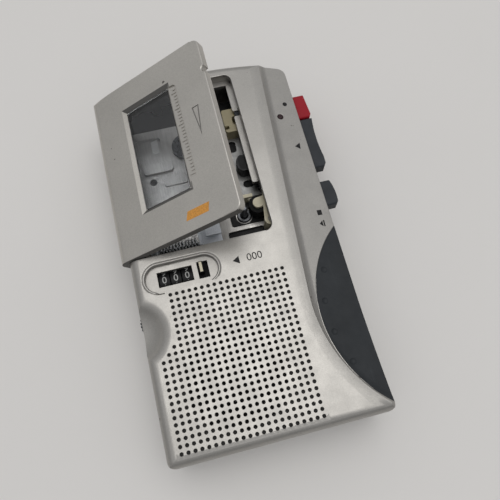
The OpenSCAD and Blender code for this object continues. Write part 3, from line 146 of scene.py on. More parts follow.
class Shader:
    """A small helper that wires up one procedural material."""

    def __init__(self, name):
        self.material = bpy.data.materials.new(name)
        self.material.use_nodes = True
        self.tree = self.material.node_tree
        self.bsdf = self.tree.nodes["Principled BSDF"]
        self.coords = self.add("ShaderNodeTexCoord").outputs["Object"]

    def add(self, kind, **values):
        """A new node with some of its inputs set."""
        node = self.tree.nodes.new(kind)
        fill(node, **values)
        return node

    def link(self, a, b):
        self.tree.links.new(a, b)

    def noise(self, scale, detail, stretch=None):
        """Noise whose grains are about 1 / scale metres wide, before any stretch."""
        node = self.add("ShaderNodeTexNoise", Scale=scale, Detail=detail)
        source = self.coords
        if stretch:
            mapping = self.add("ShaderNodeMapping", Scale=stretch)
            self.link(self.coords, mapping.inputs["Vector"])
            source = mapping.outputs["Vector"]
        self.link(source, node.inputs["Vector"])
        return node.outputs["Fac"]

    def cells(self, scale):
        """A random grey for each cell of a fine Voronoi pattern, for metal flakes."""
        node = self.add("ShaderNodeTexVoronoi", Scale=scale)
        self.link(self.coords, node.inputs["Vector"])
        parts = self.add("ShaderNodeSeparateColor")
        self.link(node.outputs["Color"], parts.inputs["Color"])
        return parts.outputs["Red"]

    def ramp(self, fac, places, colors):
        """Runs from one colour to another between two places on the factor's range."""
        node = self.add("ShaderNodeValToRGB")
        for element, place, color in zip(node.color_ramp.elements, places, colors):
            element.position = place
            element.color = color + (1.0,)
        self.link(fac, node.inputs["Fac"])
        return node.outputs["Color"]

    def tones(self, fac, color, dark, light, places=MIDDLE):
        """Darker to lighter shades of a colour, over the middle of a noise's range."""
        return self.ramp(fac, places, (shade(color, dark), shade(color, light)))

    def mask(self, fac, places, top=1.0):
        """Black up to the first place, and as light as top from the second on."""
        return self.ramp(fac, places, (grey(0), grey(top)))

    def spread(self, fac, low, high):
        """Values from low to high, over the middle of a noise's range."""
        start, end = MIDDLE
        node = self.add("ShaderNodeMapRange", From_Min=start, From_Max=end, To_Min=low, To_Max=high)
        self.link(fac, node.inputs["Value"])
        return node.outputs["Result"]

    def mix(self, fac, a, b, mode="MIX"):
        """A mix of two colours. The factor and the colours are sockets or plain values."""
        node = self.add("ShaderNodeMix")
        node.data_type = "RGBA"
        node.blend_type = mode
        for value, socket in ((fac, node.inputs[0]), (a, node.inputs[6]), (b, node.inputs[7])):
            if isinstance(value, bpy.types.NodeSocket):
                self.link(value, socket)
            else:
                socket.default_value = value
        return node.outputs[2]

    def bump(self, height, distance, strength):
        node = self.add("ShaderNodeBump", Strength=strength, Distance=distance * MM)
        self.link(height, node.inputs["Height"])
        self.link(node.outputs["Normal"], self.bsdf.inputs["Normal"])

    def color(self, socket):
        self.link(socket, self.bsdf.inputs["Base Color"])

    def rough(self, fac, low, high):
        """Roughness that wanders from low to high with a noise."""
        self.link(self.spread(fac, low, high), self.bsdf.inputs["Roughness"])


def silver_paint(name, color, metallic=0.8, rough=0.36):
    """Satin silver paint with fine flakes, faint clouding and a few dark specks of wear."""
    s = Shader(name)
    clouds = s.tones(s.noise(scale=60, detail=3), color, dark=0.96, light=1.04)
    flakes = s.ramp(s.cells(scale=5200), places=(0.0, 1.0), colors=(grey(0.93), grey(1.07)))
    paint = s.mix(1.0, clouds, flakes, "MULTIPLY")
    specks = s.mask(s.noise(scale=420, detail=1.5), places=(0.755, 0.77))
    region = s.mask(s.noise(scale=38, detail=1), places=(0.5, 0.62))
    wear = s.mix(1.0, specks, region, "MULTIPLY")
    worn = (0.13, 0.12, 0.11, 1)
    s.color(s.mix(wear, paint, worn))
    s.rough(s.noise(scale=240, detail=4), low=rough - 0.05, high=rough + 0.06)
    s.bump(s.noise(scale=3800, detail=2), distance=0.012, strength=0.5)
    fill(s.bsdf, Metallic=metallic)
    return s.material


def moulded(name, color, rough=0.5, grain=2600, depth=0.02, tone=0.1, scuff=0.0, gloss=0.5):
    """Moulded plastic with a fine grain, slightly uneven in gloss and tone, and with scuffs if any."""
    s = Shader(name)
    base = s.tones(s.noise(scale=140, detail=4), color, dark=1 - tone, light=1 + tone)
    if scuff:
        marks = s.mask(s.noise(scale=900, detail=3, stretch=(1, 0.12, 1)), places=(0.66, 0.74), top=scuff)
        base = s.mix(marks, base, shade(color, 2.2) + (1,))
    s.color(base)
    s.rough(s.noise(scale=420, detail=4), low=rough - 0.07, high=rough + 0.08)
    s.bump(s.noise(scale=grain, detail=3), distance=depth, strength=0.7)
    fill(s.bsdf, Specular_IOR_Level=gloss)
    return s.material


def rolled_steel(name, color, rough, stain=0.12):
    """Plated sheet steel with a rolling grain and faint stains."""
    s = Shader(name)
    grain = s.noise(scale=2600, detail=3, stretch=(1, 0.04, 1))
    tint = s.tones(grain, color, dark=0.86, light=1.1)
    stains = s.spread(s.noise(scale=190, detail=4), low=0, high=stain)
    s.color(s.mix(stains, tint, shade(color, 0.45) + (1,)))
    s.rough(s.noise(scale=700, detail=3), low=rough - 0.08, high=rough + 0.1)
    s.bump(grain, distance=0.008, strength=0.5)
    fill(s.bsdf, Metallic=1.0)
    return s.material


def turned_metal(name, color, rough=0.26):
    """Turned metal with faint, fine tool marks."""
    s = Shader(name)
    grain = s.noise(scale=5200, detail=2, stretch=(1, 1, 0.2))
    s.color(s.tones(grain, color, dark=0.85, light=1.12))
    s.rough(s.noise(scale=1200, detail=3), low=rough - 0.06, high=rough + 0.08)
    s.bump(grain, distance=0.005, strength=0.5)
    fill(s.bsdf, Metallic=1.0)
    return s.material


def printed(name, color):
    """Screen-printed ink, a little uneven in tone and gloss."""
    s = Shader(name)
    s.color(s.tones(s.noise(scale=2400, detail=3), color, dark=0.8, light=1.25, places=(0.3, 0.72)))
    s.rough(s.noise(scale=1500, detail=2), low=0.47, high=0.63)
    fill(s.bsdf, Specular_IOR_Level=0.25)
    return s.material


def clear_pane(name):
    """A clear acrylic pane with faint wiping marks on its gloss."""
    s = Shader(name)
    fill(s.bsdf, Base_Color=(0.86, 0.88, 0.9, 1), IOR=1.45, Transmission_Weight=1.0)
    s.rough(s.noise(scale=900, detail=4, stretch=(1, 0.1, 1)), low=0.0, high=0.03)
    return s.material


def red_lens(name):
    """A lens so dark that its red hardly shows."""
    s = Shader(name)
    dark = (0.016, 0.005, 0.007)
    light = (0.03, 0.007, 0.01)
    s.color(s.ramp(s.noise(scale=1500, detail=2), MIDDLE, (dark, light)))
    s.rough(s.noise(scale=1800, detail=2), low=0.2, high=0.3)
    fill(s.bsdf, Specular_IOR_Level=0.3)
    return s.material


SILVER = (0.365, 0.353, 0.332)
LID_SILVER = (0.485, 0.466, 0.43)
FINISHES = {
    "silver_paint": (silver_paint, dict(color=SILVER)),
    "lid_paint": (silver_paint, dict(color=LID_SILVER)),
    # A darker copy of the case's silver: painted shade on the window's right slope and in the triangle's
    # groove on the lid.
    "bevel_paint": (silver_paint, dict(color=shade(SILVER, 0.8), metallic=0.6, rough=0.5)),
    # A much darker copy of the silver: painted shade on the window's upper and lower slopes, the lid's
    # lower wall and the walls of the counter's recess.
    "wall_paint": (silver_paint, dict(color=shade(SILVER, 0.3), metallic=0.5, rough=0.5)),
    # A lighter copy of the silver: a painted highlight along the rim beside the grip.
    "rim_paint": (silver_paint, dict(color=shade(SILVER, 1.4))),
    # A copy of the lid's silver with less metal, which shows lighter than the lid: a painted highlight on
    # the window's left slope.
    "edge_paint": (silver_paint, dict(color=shade(LID_SILVER, 0.82), metallic=0.5, rough=0.4)),
    "grey_plastic": (moulded, dict(color=(0.42, 0.42, 0.4), rough=0.48)),
    "slate_plastic": (moulded, dict(color=(0.024, 0.028, 0.033), rough=0.55, grain=2200, depth=0.03,
                                    tone=0.14, scuff=0.25, gloss=0.3)),
    "grip_rubber": (moulded, dict(color=(0.021, 0.024, 0.027), rough=0.58, grain=1900, depth=0.04,
                                  tone=0.12, scuff=0.15, gloss=0.3)),
    "black_plastic": (moulded, dict(color=(0.008, 0.008, 0.0085), rough=0.45, grain=2400,
                                    tone=0.2, scuff=0.2, gloss=0.2)),
    # Near-black and dull: painted shade in the slot round the reset button.
    "slot_black": (moulded, dict(color=grey(0.004), rough=0.6, gloss=0.15)),
    "red_plastic": (moulded, dict(color=(0.27, 0.004, 0.012), depth=0.01, gloss=0.25)),
    "red_lens": (red_lens, {}),
    "cream_plastic": (moulded, dict(color=(0.6, 0.55, 0.4), rough=0.4, grain=2400, depth=0.01, tone=0.08)),
    "olive_plastic": (moulded, dict(color=(0.3, 0.26, 0.155), rough=0.42, grain=2400, depth=0.01,
                                    tone=0.12)),
    "window": (clear_pane, {}),
    "zinc_steel": (rolled_steel, dict(color=(0.3, 0.3, 0.295), rough=0.42, stain=0.3)),
    "bright_steel": (turned_metal, dict(color=(0.5, 0.51, 0.52))),
    "head_steel": (turned_metal, dict(color=(0.035, 0.035, 0.036), rough=0.45)),
    "blue_steel": (silver_paint, dict(color=(0.66, 0.69, 0.73), metallic=0.35, rough=0.4)),
    "plate_steel": (rolled_steel, dict(color=(0.4, 0.39, 0.375), rough=0.36, stain=0.35)),
    # Near-black: painted shade for the depth of the speaker holes, on the seat under the panel.
    "under_panel": (moulded, dict(color=(0.022, 0.0215, 0.021), rough=0.7, gloss=0.3)),
    "dark_steel": (rolled_steel, dict(color=(0.16, 0.165, 0.175), rough=0.4)),
    "brass": (turned_metal, dict(color=(0.62, 0.46, 0.2), rough=0.3)),
    "rubber": (moulded, dict(color=grey(0.009), rough=0.72, grain=3000, depth=0.03, tone=0.2, gloss=0.2)),
    "board": (moulded, dict(color=(0.03, 0.13, 0.05), rough=0.35, grain=1800, depth=0.01, tone=0.2)),
    "paper": (moulded, dict(color=(0.012, 0.012, 0.013), rough=0.85, grain=1500, depth=0.06, tone=0.25)),
    "black_ink": (printed, dict(color=(0.009, 0.009, 0.0095))),
    "white_ink": (printed, dict(color=(0.42, 0.42, 0.41))),
    # Light strokes for the hatched, pressed ridges on the frame: painted highlights.
    "bright_ink": (printed, dict(color=grey(0.8))),
    "orange_ink": (printed, dict(color=(0.56, 0.26, 0.055))),
}
M = {name: recipe(name, **values) for name, (recipe, values) in FINISHES.items()}


def finish_mesh(obj):
    """Replaces obj's mesh by the result of its modifiers."""
    bpy.context.view_layer.update()
    graph = bpy.context.evaluated_depsgraph_get()
    mesh = bpy.data.meshes.new_from_object(obj.evaluated_get(graph), depsgraph=graph)
    obj.modifiers.clear()
    obj.data = mesh


def new_object(name, bm, material, smooth=True):
    """An object from a bmesh, which is used up."""
    mesh = bpy.data.meshes.new(name)
    bm.to_mesh(mesh)
    bm.free()
    for polygon in mesh.polygons:
        polygon.use_smooth = smooth
    mesh.materials.append(material)
    obj = bpy.data.objects.new(name, mesh)
    bpy.context.scene.collection.objects.link(obj)
    return obj


def soften(obj, width, clamp):
    """Rounds the edges that carry a bevel weight and evens out the shading."""
    bevel = obj.modifiers.new("edges", "BEVEL")
    bevel.limit_method = "WEIGHT"
    bevel.width = width * MM
    bevel.segments = EDGE_SEGMENTS
    bevel.use_clamp_overlap = clamp
    bevel.miter_outer = "MITER_ARC"
    normals = obj.modifiers.new("normals", "WEIGHTED_NORMAL")
    normals.keep_sharp = True
    finish_mesh(obj)


def weigh_edges(bm, weight):
    """Gives each sharp edge its bevel weight, and keeps it sharp where that is nothing."""
    layer = bm.edges.layers.float.new("bevel_weight_edge")
    for edge in bm.edges:
        if len(edge.link_faces) != 2 or edge.calc_face_angle(0) < SHARP:
            continue
        share = weight(edge.verts[0].co / MM, edge.verts[1].co / MM) if weight else 1.0
        edge[layer] = share
        edge.smooth = share > 0


def dress(node, material, width, weight, cuts):
    """A copy of a CAD node with welded faces, softened edges and even shading, which stands for it.

    Each cut is an axis and a place on it where the faces are parted, for a change of finish.
    """
    bm = bmesh.new()
    bm.from_mesh(nodes[node].data)
    bmesh.ops.remove_doubles(bm, verts=bm.verts, dist=WELD * MM)
    bmesh.ops.dissolve_limit(bm, angle_limit=FLAT, verts=bm.verts, edges=bm.edges)
    for axis, place in cuts:
        normal = Vector([float(i == axis) for i in range(3)])
        everything = bm.verts[:] + bm.edges[:] + bm.faces[:]
        bmesh.ops.bisect_plane(bm, geom=everything, plane_co=normal * place * MM, plane_no=normal)
    weigh_edges(bm, weight)
    obj = new_object("dressed_" + node, bm, M[material])
    soften(obj, width, weight is None)
    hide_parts(node)
    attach(obj, body_of_node[node])
    return obj


def within(point, box):
    """True where a point lies in an area x0, y0, x1, y1."""
    x0, y0, x1, y1 = box
    return x0 < point.x < x1 and y0 < point.y < y1


def box_cuts(box):
    """The cuts along the four sides of an area."""
    x0, y0, x1, y1 = box
    return [(0, x0), (0, x1), (1, y0), (1, y1)]


def strip_u(x, y):
    """Distance across the key strip from the foot of its step, as in the solids."""
    if y > STEP_Y:
        return (x - STEP_X - (y - STEP_Y) * math.tan(STEP_LEAN)) * math.cos(STEP_LEAN)
    cx = STEP_X + BEND_R * math.cos(STEP_LEAN)
    cy = STEP_Y - BEND_R * math.sin(STEP_LEAN)
    return BEND_R - math.hypot(x - cx, y - cy)


def strip_z(x, y):
    """Height of the key strip."""
    return FACE_Z - STRIP_DROP - strip_u(x, y) * math.tan(STRIP_FALL)


def face_z(x, y):
    """Height of the front face, with its roll-off and its rounded bottom edge."""
    z = FACE_Z
    roll = strip_u(x, y) + ROLL_W
    if roll > 0:
        z = min(z, FACE_Z + ROLL_RISE - ROLL_R + math.sqrt(max(ROLL_R ** 2 - roll ** 2, 0)))
    past = BOTTOM_Y + EDGE_R - y
    if past > 0:
        z = min(z, FACE_Z - EDGE_R + math.sqrt(EDGE_R ** 2 - past ** 2))
    return z


def case_edge(a, b):
    """Bevel share of the front case's edges: the rims of the counter's recess, the bay and the strip."""
    face_slack = 0.06
    strip_slack = 0.1
    strip_foot = 0.5
    strip_share = 0.8
    ends = (a, b)
    if all(abs(v.z - FACE_Z) < face_slack for v in ends):
        at_rim = any(all(within(v, rim) for v in ends) for rim in (RECESS_RIM, BAY_RIM))
        return 1.0 if at_rim else 0.0
    past_foot = all(strip_u(v.x, v.y) > strip_foot for v in ends)
    on_strip = past_foot and all(abs(v.z - strip_z(v.x, v.y)) < strip_slack for v in ends)
    return strip_share if on_strip else 0.0


def off_lid(v):
    """A point on the open lid, turned back to the shut lid."""
    return TO_SHUT @ (v - HINGE) + HINGE


def on_lid(verts):
    """Points drawn on the shut lid, turned to where the lid stands."""
    return [TO_OPEN @ (Vector(v) - HINGE) + HINGE for v in verts]


def lid_edge(a, b):
    """Bevel share of the lid's edges: the free edge of its face is rounded, up to both corners."""
    face_slack = 0.2
    mid = off_lid((a + b) / 2)
    return 1.0 if mid.x > LID_FREE_X and mid.z > FACE_Z - face_slack else 0.0


# The record's finishes and those that differ, other widths of rounding, edges chosen one by one, and cuts.
MATERIAL_OF = {s["node"]: s["material_slot"] for s in frame["record"]["subparts"]}
LOOK = {
    "cassette_lid": "lid_paint", "thumb_grip": "grip_rubber", "spring_bracket": "blue_steel",
    "record_head": "head_steel", "chassis_plate": "plate_steel", "capstan_bush": "dark_steel",
    "capstan_shaft": "dark_steel",
}
WIDTH = {
    "front_case": 0.3, "rear_case": 0.2, "cassette_lid": 0.5, "battery_door": 0.15, "thumb_grip": 0.12,
    "record_key": 0.45, "play_key": 0.45, "stop_key": 0.45, "led_lens": 0.3,
}
WEIGHT = {"front_case": case_edge, "cassette_lid": lid_edge}
CUTS = {
    "pinch_arm": [(0, LEVER_X)],
    "head_plate": [(1, y) for edges in PLATE_SHADE_BANDS for y in edges],
    "reset_button": box_cuts(BUTTON_CORE),
    "mech_frame": box_cuts(PORT),
}

# Nodes that aren't dressed, because they are made anew.
REMADE = ("battery_springs", "lid_spring", "brake_spring", "record_spring", "play_spring", "stop_spring",
          "speaker_grille")


def dress_nodes():
    """Dresses all the nodes that aren't made anew."""
    dressed = {}
    for node in nodes:
        if node not in REMADE:
            look = LOOK.get(node, MATERIAL_OF[node])
            width = WIDTH.get(node, EDGE_WIDTH)
            dressed[node] = dress(node, look, width, WEIGHT.get(node), CUTS.get(node, ()))
    return dressed


def repaint(obj, material, chosen):
    """Gives another finish to the faces that chosen picks by their middle and their normal."""
    slots = obj.data.materials
    if material not in slots:
        slots.append(M[material])
    index = slots.find(material)
    for polygon in obj.data.polygons:
        if chosen(polygon.center / MM, polygon.normal):
            polygon.material_index = index


def window_bevel(side):
    """A test for the slopes round the lid's window that face to one side, as the shut lid lies. The left
    slope gets a painted highlight and the other slopes painted shade, in copies of the silver.
    """
    depth = 0.9
    steep = 0.3
    gentle = 0.97
    facing = 0.2

    def chosen(centre, normal):
        at = off_lid(centre)
        lean = TO_SHUT @ normal
        near = within(at, WINDOW) and at.z > FACE_Z - depth
        return near and steep < lean.z < gentle and lean.dot(Vector(side)) > facing
    return chosen


def triangle_groove(centre, normal):
    """True on the floor and walls of the triangle's groove in the lid's face, which get painted shade."""
    below = 0.3
    clear = 0.02
    at = off_lid(centre)
    return within(at, TRIANGLE) and FACE_Z - below < at.z < FACE_Z - clear


def lower_wall(centre, normal):
    """True on the lid's wall towards the counter, which gets painted shade."""
    top = -0.4
    facing = 0.7
    return -normal.y > facing and centre.y < top


def recess_wall(centre, normal):
    """True on the upper and right walls of the counter's recess, which get painted shade."""
    clear = 0.1
    steep = 0.4
    facing_down = 0.15
    facing_left = 0.3
    in_recess = within(centre, RECESS) and centre.z < FACE_Z - clear
    faces_it = -normal.y > facing_down or -normal.x > facing_left
    return in_recess and abs(normal.z) < steep and faces_it


def off_button_core(centre, normal):
    """True on the reset button, but for the cream middle of its top. These faces get a near-black, dull
    finish: painted shade of the slot round the button.
    """
    below = 0.6
    steep = 0.5
    return normal.z < steep or centre.z < FACE_Z - below or not within(centre, BUTTON_CORE)


def under_port(centre, normal):
    """True on the frame's top where it shows through the port in the deck plate."""
    slack = 0.1
    return normal.z > LOOKS_UP and centre.z > FRAME_Z - slack and within(centre, PORT)


def under_grille(centre, normal):
    """True on the front case's seat for the panel of speaker holes, which is painted near-black as the
    shade deep in the holes.
    """
    slack = 0.05
    return normal.z > LOOKS_UP and abs(centre.z - FACE_Z + PANEL_T) < slack


def lever_end(centre, normal):
    """True on the black part of the pinch lever."""
    return centre.x < LEVER_X


def plate_band(centre, normal):
    """True on the bands of the head plate that are painted black as painted shade."""
    return any(low < centre.y < high for low, high in PLATE_SHADE_BANDS)


REPAINTS = (
    ("mech_frame", "plate_steel", under_port),
    ("front_case", "under_panel", under_grille),
    ("pinch_arm", "black_plastic", lever_end),
    ("head_plate", "black_plastic", plate_band),
    ("cassette_lid", "edge_paint", window_bevel((1, 0, 0))),
    ("cassette_lid", "bevel_paint", window_bevel((-1, 0, 0))),
    ("cassette_lid", "wall_paint", window_bevel((0, -1, 0))),
    ("cassette_lid", "wall_paint", window_bevel((0, 1, 0))),
    ("cassette_lid", "bevel_paint", triangle_groove),
    ("cassette_lid", "wall_paint", lower_wall),
    ("front_case", "wall_paint", recess_wall),
    ("reset_button", "slot_black", off_button_core),
)


def piece(name, verts, faces, material, body, smooth=False, node=None):
    """A mesh from points in millimetres that rides on a body, and stands for a node if one is named."""
    bm = bmesh.new()
    made = [bm.verts.new(Vector(v) * MM) for v in verts]
    for face in faces:
        bm.faces.new([made[i] for i in face])
    bmesh.ops.recalc_face_normals(bm, faces=bm.faces)
    obj = new_object(name, bm, M[material], smooth)
    if node:
        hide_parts(node)
    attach(obj, body)
    return obj


def band(upper, lower):
    """The quads between two closed rows of as many points."""
    n = len(upper)
    return [[upper[i], upper[(i + 1) % n], lower[(i + 1) % n], lower[i]] for i in range(n)]


def disc(x, y, r, sides=32):
    """Points round a circle."""
    turns = [2 * math.pi * i / sides for i in range(sides)]
    return [(x + r * math.cos(turn), y + r * math.sin(turn)) for turn in turns]


def bar(x0, y0, x1, y1):
    """The corners of an upright rectangle."""
    return [(x0, y0), (x1, y0), (x1, y1), (x0, y1)]


def level(z):
    """The height of a flat surface, for raised."""
    return lambda x, y: z


def raised(shapes, height, lift=0.03):
    """Closed plates from flat outlines, lying on the surface that height gives."""
    sink = 0.05
    verts = []
    faces = []
    for shape in shapes:
        n = len(shape)
        upper = list(range(len(verts), len(verts) + n))
        lower = [i + n for i in upper]
        verts += [(x, y, height(x, y) + lift) for x, y in shape]
        verts += [(x, y, height(x, y) - sink) for x, y in shape]
        faces += [upper, lower[::-1]] + band(upper, lower)
    return verts, faces


def panel_outline():
    """Points along the outline of the panel of speaker holes, about a pitch apart."""
    left = GRID_X - PANEL_EDGE
    right = GRID_X + (COLS - 1) * PITCH + PANEL_EDGE
    bottom = GRID_Y - (ROWS - 1) * PITCH - PANEL_EDGE
    top = GRID_Y + PANEL_EDGE
    notch_x = GRID_X + NOTCH_COLS * PITCH - PANEL_EDGE
    notch_y = GRID_Y - (NOTCH_ROWS - 1) * PITCH
    slope_y = GRID_Y - (NOTCH_ROWS + NOTCH_COLS - 1) * PITCH
    corners = bar(left, bottom, right, top)[:3] + [(notch_x, top), (notch_x, notch_y), (left, slope_y)]
    outline = []
    for (ax, ay), (bx, by) in zip(corners, corners[1:] + corners[:1]):
        steps = max(1, round(math.hypot(bx - ax, by - ay) / PITCH))
        outline += [(ax + (bx - ax) * i / steps, ay + (by - ay) * i / steps) for i in range(steps)]
    return outline


def hole_centres():
    """The middles of the speaker holes, row by row from the top."""
    centres = []
    for row in range(ROWS):
        first = NOTCH_COLS if row < NOTCH_ROWS else max(0, NOTCH_ROWS + NOTCH_COLS - 1 - row)
        centres += [(GRID_X + col * PITCH, GRID_Y - row * PITCH) for col in range(first, COLS)]
    return centres


def build_grille():
    """The perforated panel, with a countersunk rim at both ends of each hole."""
    rim = 0.58
    hole = 0.5
    sink = 0.1
    thick = 0.78
    back = FACE_Z - thick
    sides = 18
    centres = hole_centres()
    flat = panel_outline()
    loops = [list(range(len(flat)))]
    for cx, cy in centres:
        loops.append(list(range(len(flat), len(flat) + sides)))
        flat += disc(cx, cy, rim, sides)
    inside_only = 1
    closest = 1e-6
    points, _, triangles, source, _, _ = mathutils.geometry.delaunay_2d_cdt(
        [Vector(p) for p in flat], [], loops, inside_only, closest)
    at = {old: new for new, olds in enumerate(source) for old in olds}
    loop_at = {at[i]: k for k, loop in enumerate(loops) for i in loop}
    count = len(points)
    verts = [(v.x, v.y, face_z(v.x, v.y)) for v in points]
    verts += [(v.x, v.y, back) for v in points]
    faces = []
    for triangle in triangles:
        of_loops = {loop_at[i] for i in triangle}
        if len(of_loops) > 1 or of_loops == {0}:
            faces.append(list(triangle))
            faces.append([i + count for i in reversed(triangle)])
    faces += band([at[i] for i in loops[0]], [at[i] + count for i in loops[0]])
    for (cx, cy), loop in zip(centres, loops[1:]):
        upper = [at[i] for i in loop]
        for z in (face_z(cx, cy) - sink, back + sink):
            lower = list(range(len(verts), len(verts) + sides))
            verts += [(x, y, z) for x, y in disc(cx, cy, hole, sides)]
            faces += band(upper, lower)
            upper = lower
        faces += band(upper, [at[i] + count for i in loop])
    piece("grille_panel", verts, faces, "silver_paint", "case", node="speaker_grille")


def coil_points(first_r, last_r, length, curls, wire):
    """A wound wire along +Z with a straight lead at each end."""
    steps = 20
    rise = length - 2 * wire
    points = [Vector((first_r, -wire, wire))]
    for i in range(curls * steps + 1):
        turn = 2 * math.pi * i / steps
        share = i / (curls * steps)
        r = first_r + (last_r - first_r) * share
        points.append(Vector((r * math.cos(turn), r * math.sin(turn), wire + rise * share)))
    return points + [Vector((last_r, wire, length - wire))]


def tube(points, radius):
    """Vertices and faces of a round tube along points, with capped ends."""
    sides = 10
    verts = []
    faces = []
    last = len(points) - 1
    for i, point in enumerate(points):
        along = (points[min(i + 1, last)] - points[max(i - 1, 0)]).normalized()
        side = along.cross(Vector((0, 0, 1))).normalized()
        up = side.cross(along)
        for k in range(sides):
            turn = 2 * math.pi * k / sides
            verts.append(point + radius * (math.cos(turn) * side + math.sin(turn) * up))
    for i in range(last):
        for k in range(sides):
            a = i * sides + k
            b = i * sides + (k + 1) % sides
            faces.append([a, b, b + sides, a + sides])
    faces.append(list(range(sides))[::-1])
    faces.append([last * sides + k for k in range(sides)])
    return verts, faces


def build_spring(name, coils, node):
    """One or more wound springs as one piece. Each coil is its place, its lay and its sizes."""
    verts = []
    faces = []
    for place, lay, sizes in coils:
        more_verts, more_faces = tube(coil_points(**sizes), sizes["wire"] / 2)
        faces += [[i + len(verts) for i in f] for f in more_faces]
        verts += [lay @ v + Vector(place) for v in more_verts]
    return piece(name, verts, faces, "bright_steel", "case", smooth=True, node=node)


def build_springs():
    """All the wound springs."""
    along_x = Matrix.Rotation(math.radians(90), 3, "Y")
    against_x = Matrix.Rotation(math.radians(-90), 3, "Y")
    along_y = Matrix.Rotation(math.radians(-90), 3, "X")
    cell_coil = dict(first_r=3.6, last_r=2.2, length=4.6, curls=3, wire=0.5)
    lid_coil = dict(first_r=1.2, last_r=1.2, length=7, curls=6, wire=0.5)
    brake_coil = dict(first_r=1.25, last_r=1.25, length=13.2, curls=12, wire=0.5)
    key_coil = dict(first_r=1.6, last_r=1.6, length=5.7, curls=4, wire=0.5)
    cell_coils = [((-27.6, -34.75, 8.85), along_x, cell_coil), ((27.6, -49.25, 8.85), against_x, cell_coil)]
    build_spring("battery_coils", cell_coils, "battery_springs")
    build_spring("lid_coil", [((-30, 24.5, 16.8), along_y, lid_coil)], "lid_spring")
    build_spring("brake_coil", [((-23.4, 3.4, 15.3), along_x, brake_coil)], "brake_spring")
    for key in ("record", "play", "stop"):
        low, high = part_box(key + "_spring")
        seat = Vector((low[0], (low[1] + high[1]) / 2, (low[2] + high[2]) / 2))
        coil = build_spring(key + "_coil", [(seat / MM, along_x, key_coil)], key + "_spring")
        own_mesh(coil)


def glyphs(text, size, thick):
    """Flat numerals as a mesh in millimetres, centred on the origin."""
    curve = bpy.data.curves.new("numeral", "FONT")
    curve.body = text
    curve.size = size
    curve.extrude = thick
    curve.align_x = "CENTER"
    curve.align_y = "CENTER"
    curve.resolution_u = 5
    holder = bpy.data.objects.new("numeral", curve)
    bpy.context.scene.collection.objects.link(holder)
    mesh = bpy.data.meshes.new_from_object(holder)
    verts = [v.co.copy() for v in mesh.vertices]
    faces = [list(p.vertices) for p in mesh.polygons]
    bpy.data.objects.remove(holder)
    bpy.data.curves.remove(curve)
    bpy.data.meshes.remove(mesh)
    return verts, faces


def build_strip_symbols():
    """The signs printed on the strip beside the keys."""
    record_dot = disc(28.3, 42.8, 0.75)
    play_arrow = [(27.3, 26.5), (29.2, 27.6), (28.9, 25.3)]
    stop_square = bar(27.7, 1.4, 29.2, 3.1)
    eject_arrow = [(27.4, -1.5), (28.5, -0.5), (28.4, -2.5)]
    eject_bar = [(28.75, -0.45), (29.15, -0.45), (29.05, -2.55), (28.65, -2.55)]
    signs = [record_dot, play_arrow, stop_square, eject_arrow, eject_bar]
    piece("strip_symbols", *raised(signs, strip_z), "black_ink", "case")


def build_reset_signs():
    """The arrow and the three zeros printed beside the counter's reset button."""
    arrow = [(-2.0, -8.1), (0.0, -6.9), (0.0, -9.3)]
    piece("reset_arrow", *raised([arrow], face_z), "black_ink", "case")
    zeros_at = Vector((4.6, -8.1, FACE_Z))
    verts, faces = glyphs("000", size=3.2, thick=0.04)
    piece("reset_zeros", [v + zeros_at for v in verts], faces, "black_ink", "case")


def build_lid_stripe():
    """The orange stripe below the lid's window."""
    stripe = [(-5.4, 2.7), (2.2, 2.7), (3.0, 5.3), (-4.4, 5.3)]
    verts, faces = raised([stripe], level(FACE_Z))
    piece("lid_stripe", on_lid(verts), faces, "orange_ink", "lid")


def build_port_strokes():
    """Light strokes on the frame, which show through the port in the deck plate: painted highlights that
    stand for hatched, pressed ridges.
    """
    count = 8
    first_y = 38.8
    pitch = 0.64
    left = -18.3
    right = -16.0
    climb = 0.7
    width = 0.25
    strokes = []
    for i in range(count):
        y = first_y + i * pitch
        strokes.append([(left, y), (right, y + climb), (right, y + climb + width), (left, y + width)])
    piece("port_strokes", *raised(strokes, level(FRAME_Z)), "bright_ink", "case")


def build_lid_scale():
    """The raised scale in the recessed strip beside the lid's window, with each fifth tick longer."""
    count = 27
    first_y = 15.4
    pitch = 1.1
    width = 0.34
    long_x = -1.0
    short_x = -0.3
    right = 0.75
    depth = 0.5
    lift = 0.22
    ticks = []
    for i in range(count):
        y = first_y + i * pitch
        ticks.append(bar(short_x if i % 5 else long_x, y, right, y + width))
    verts, faces = raised(ticks, level(FACE_Z - depth), lift)
    piece("lid_scale", on_lid(verts), faces, "lid_paint", "lid")


def build_recess_lip():
    """The rounded lip round the counter's recess, which sinks into the face at its lower side."""
    cx, cy = -17.35, -8.05
    half = 11.65
    outer = 4.95
    wire = 0.4
    inset = 0.42
    proud = 0.02
    first = 255
    step = 7.5
    count = 23
    radius = outer - inset
    reach = half - outer
    z = FACE_Z + proud - wire
    arc = [math.radians(first - i * step) for i in range(count)]
    left = [Vector((cx - reach + radius * math.cos(t), cy + radius * math.sin(t), z)) for t in arc]
    right = [Vector((2 * cx - v.x, v.y, v.z)) for v in reversed(left)]
    for end in (left[0], right[-1]):
        end.z -= 2 * wire
    piece("recess_lip", *tube(left + right, wire), "silver_paint", "case", smooth=True)


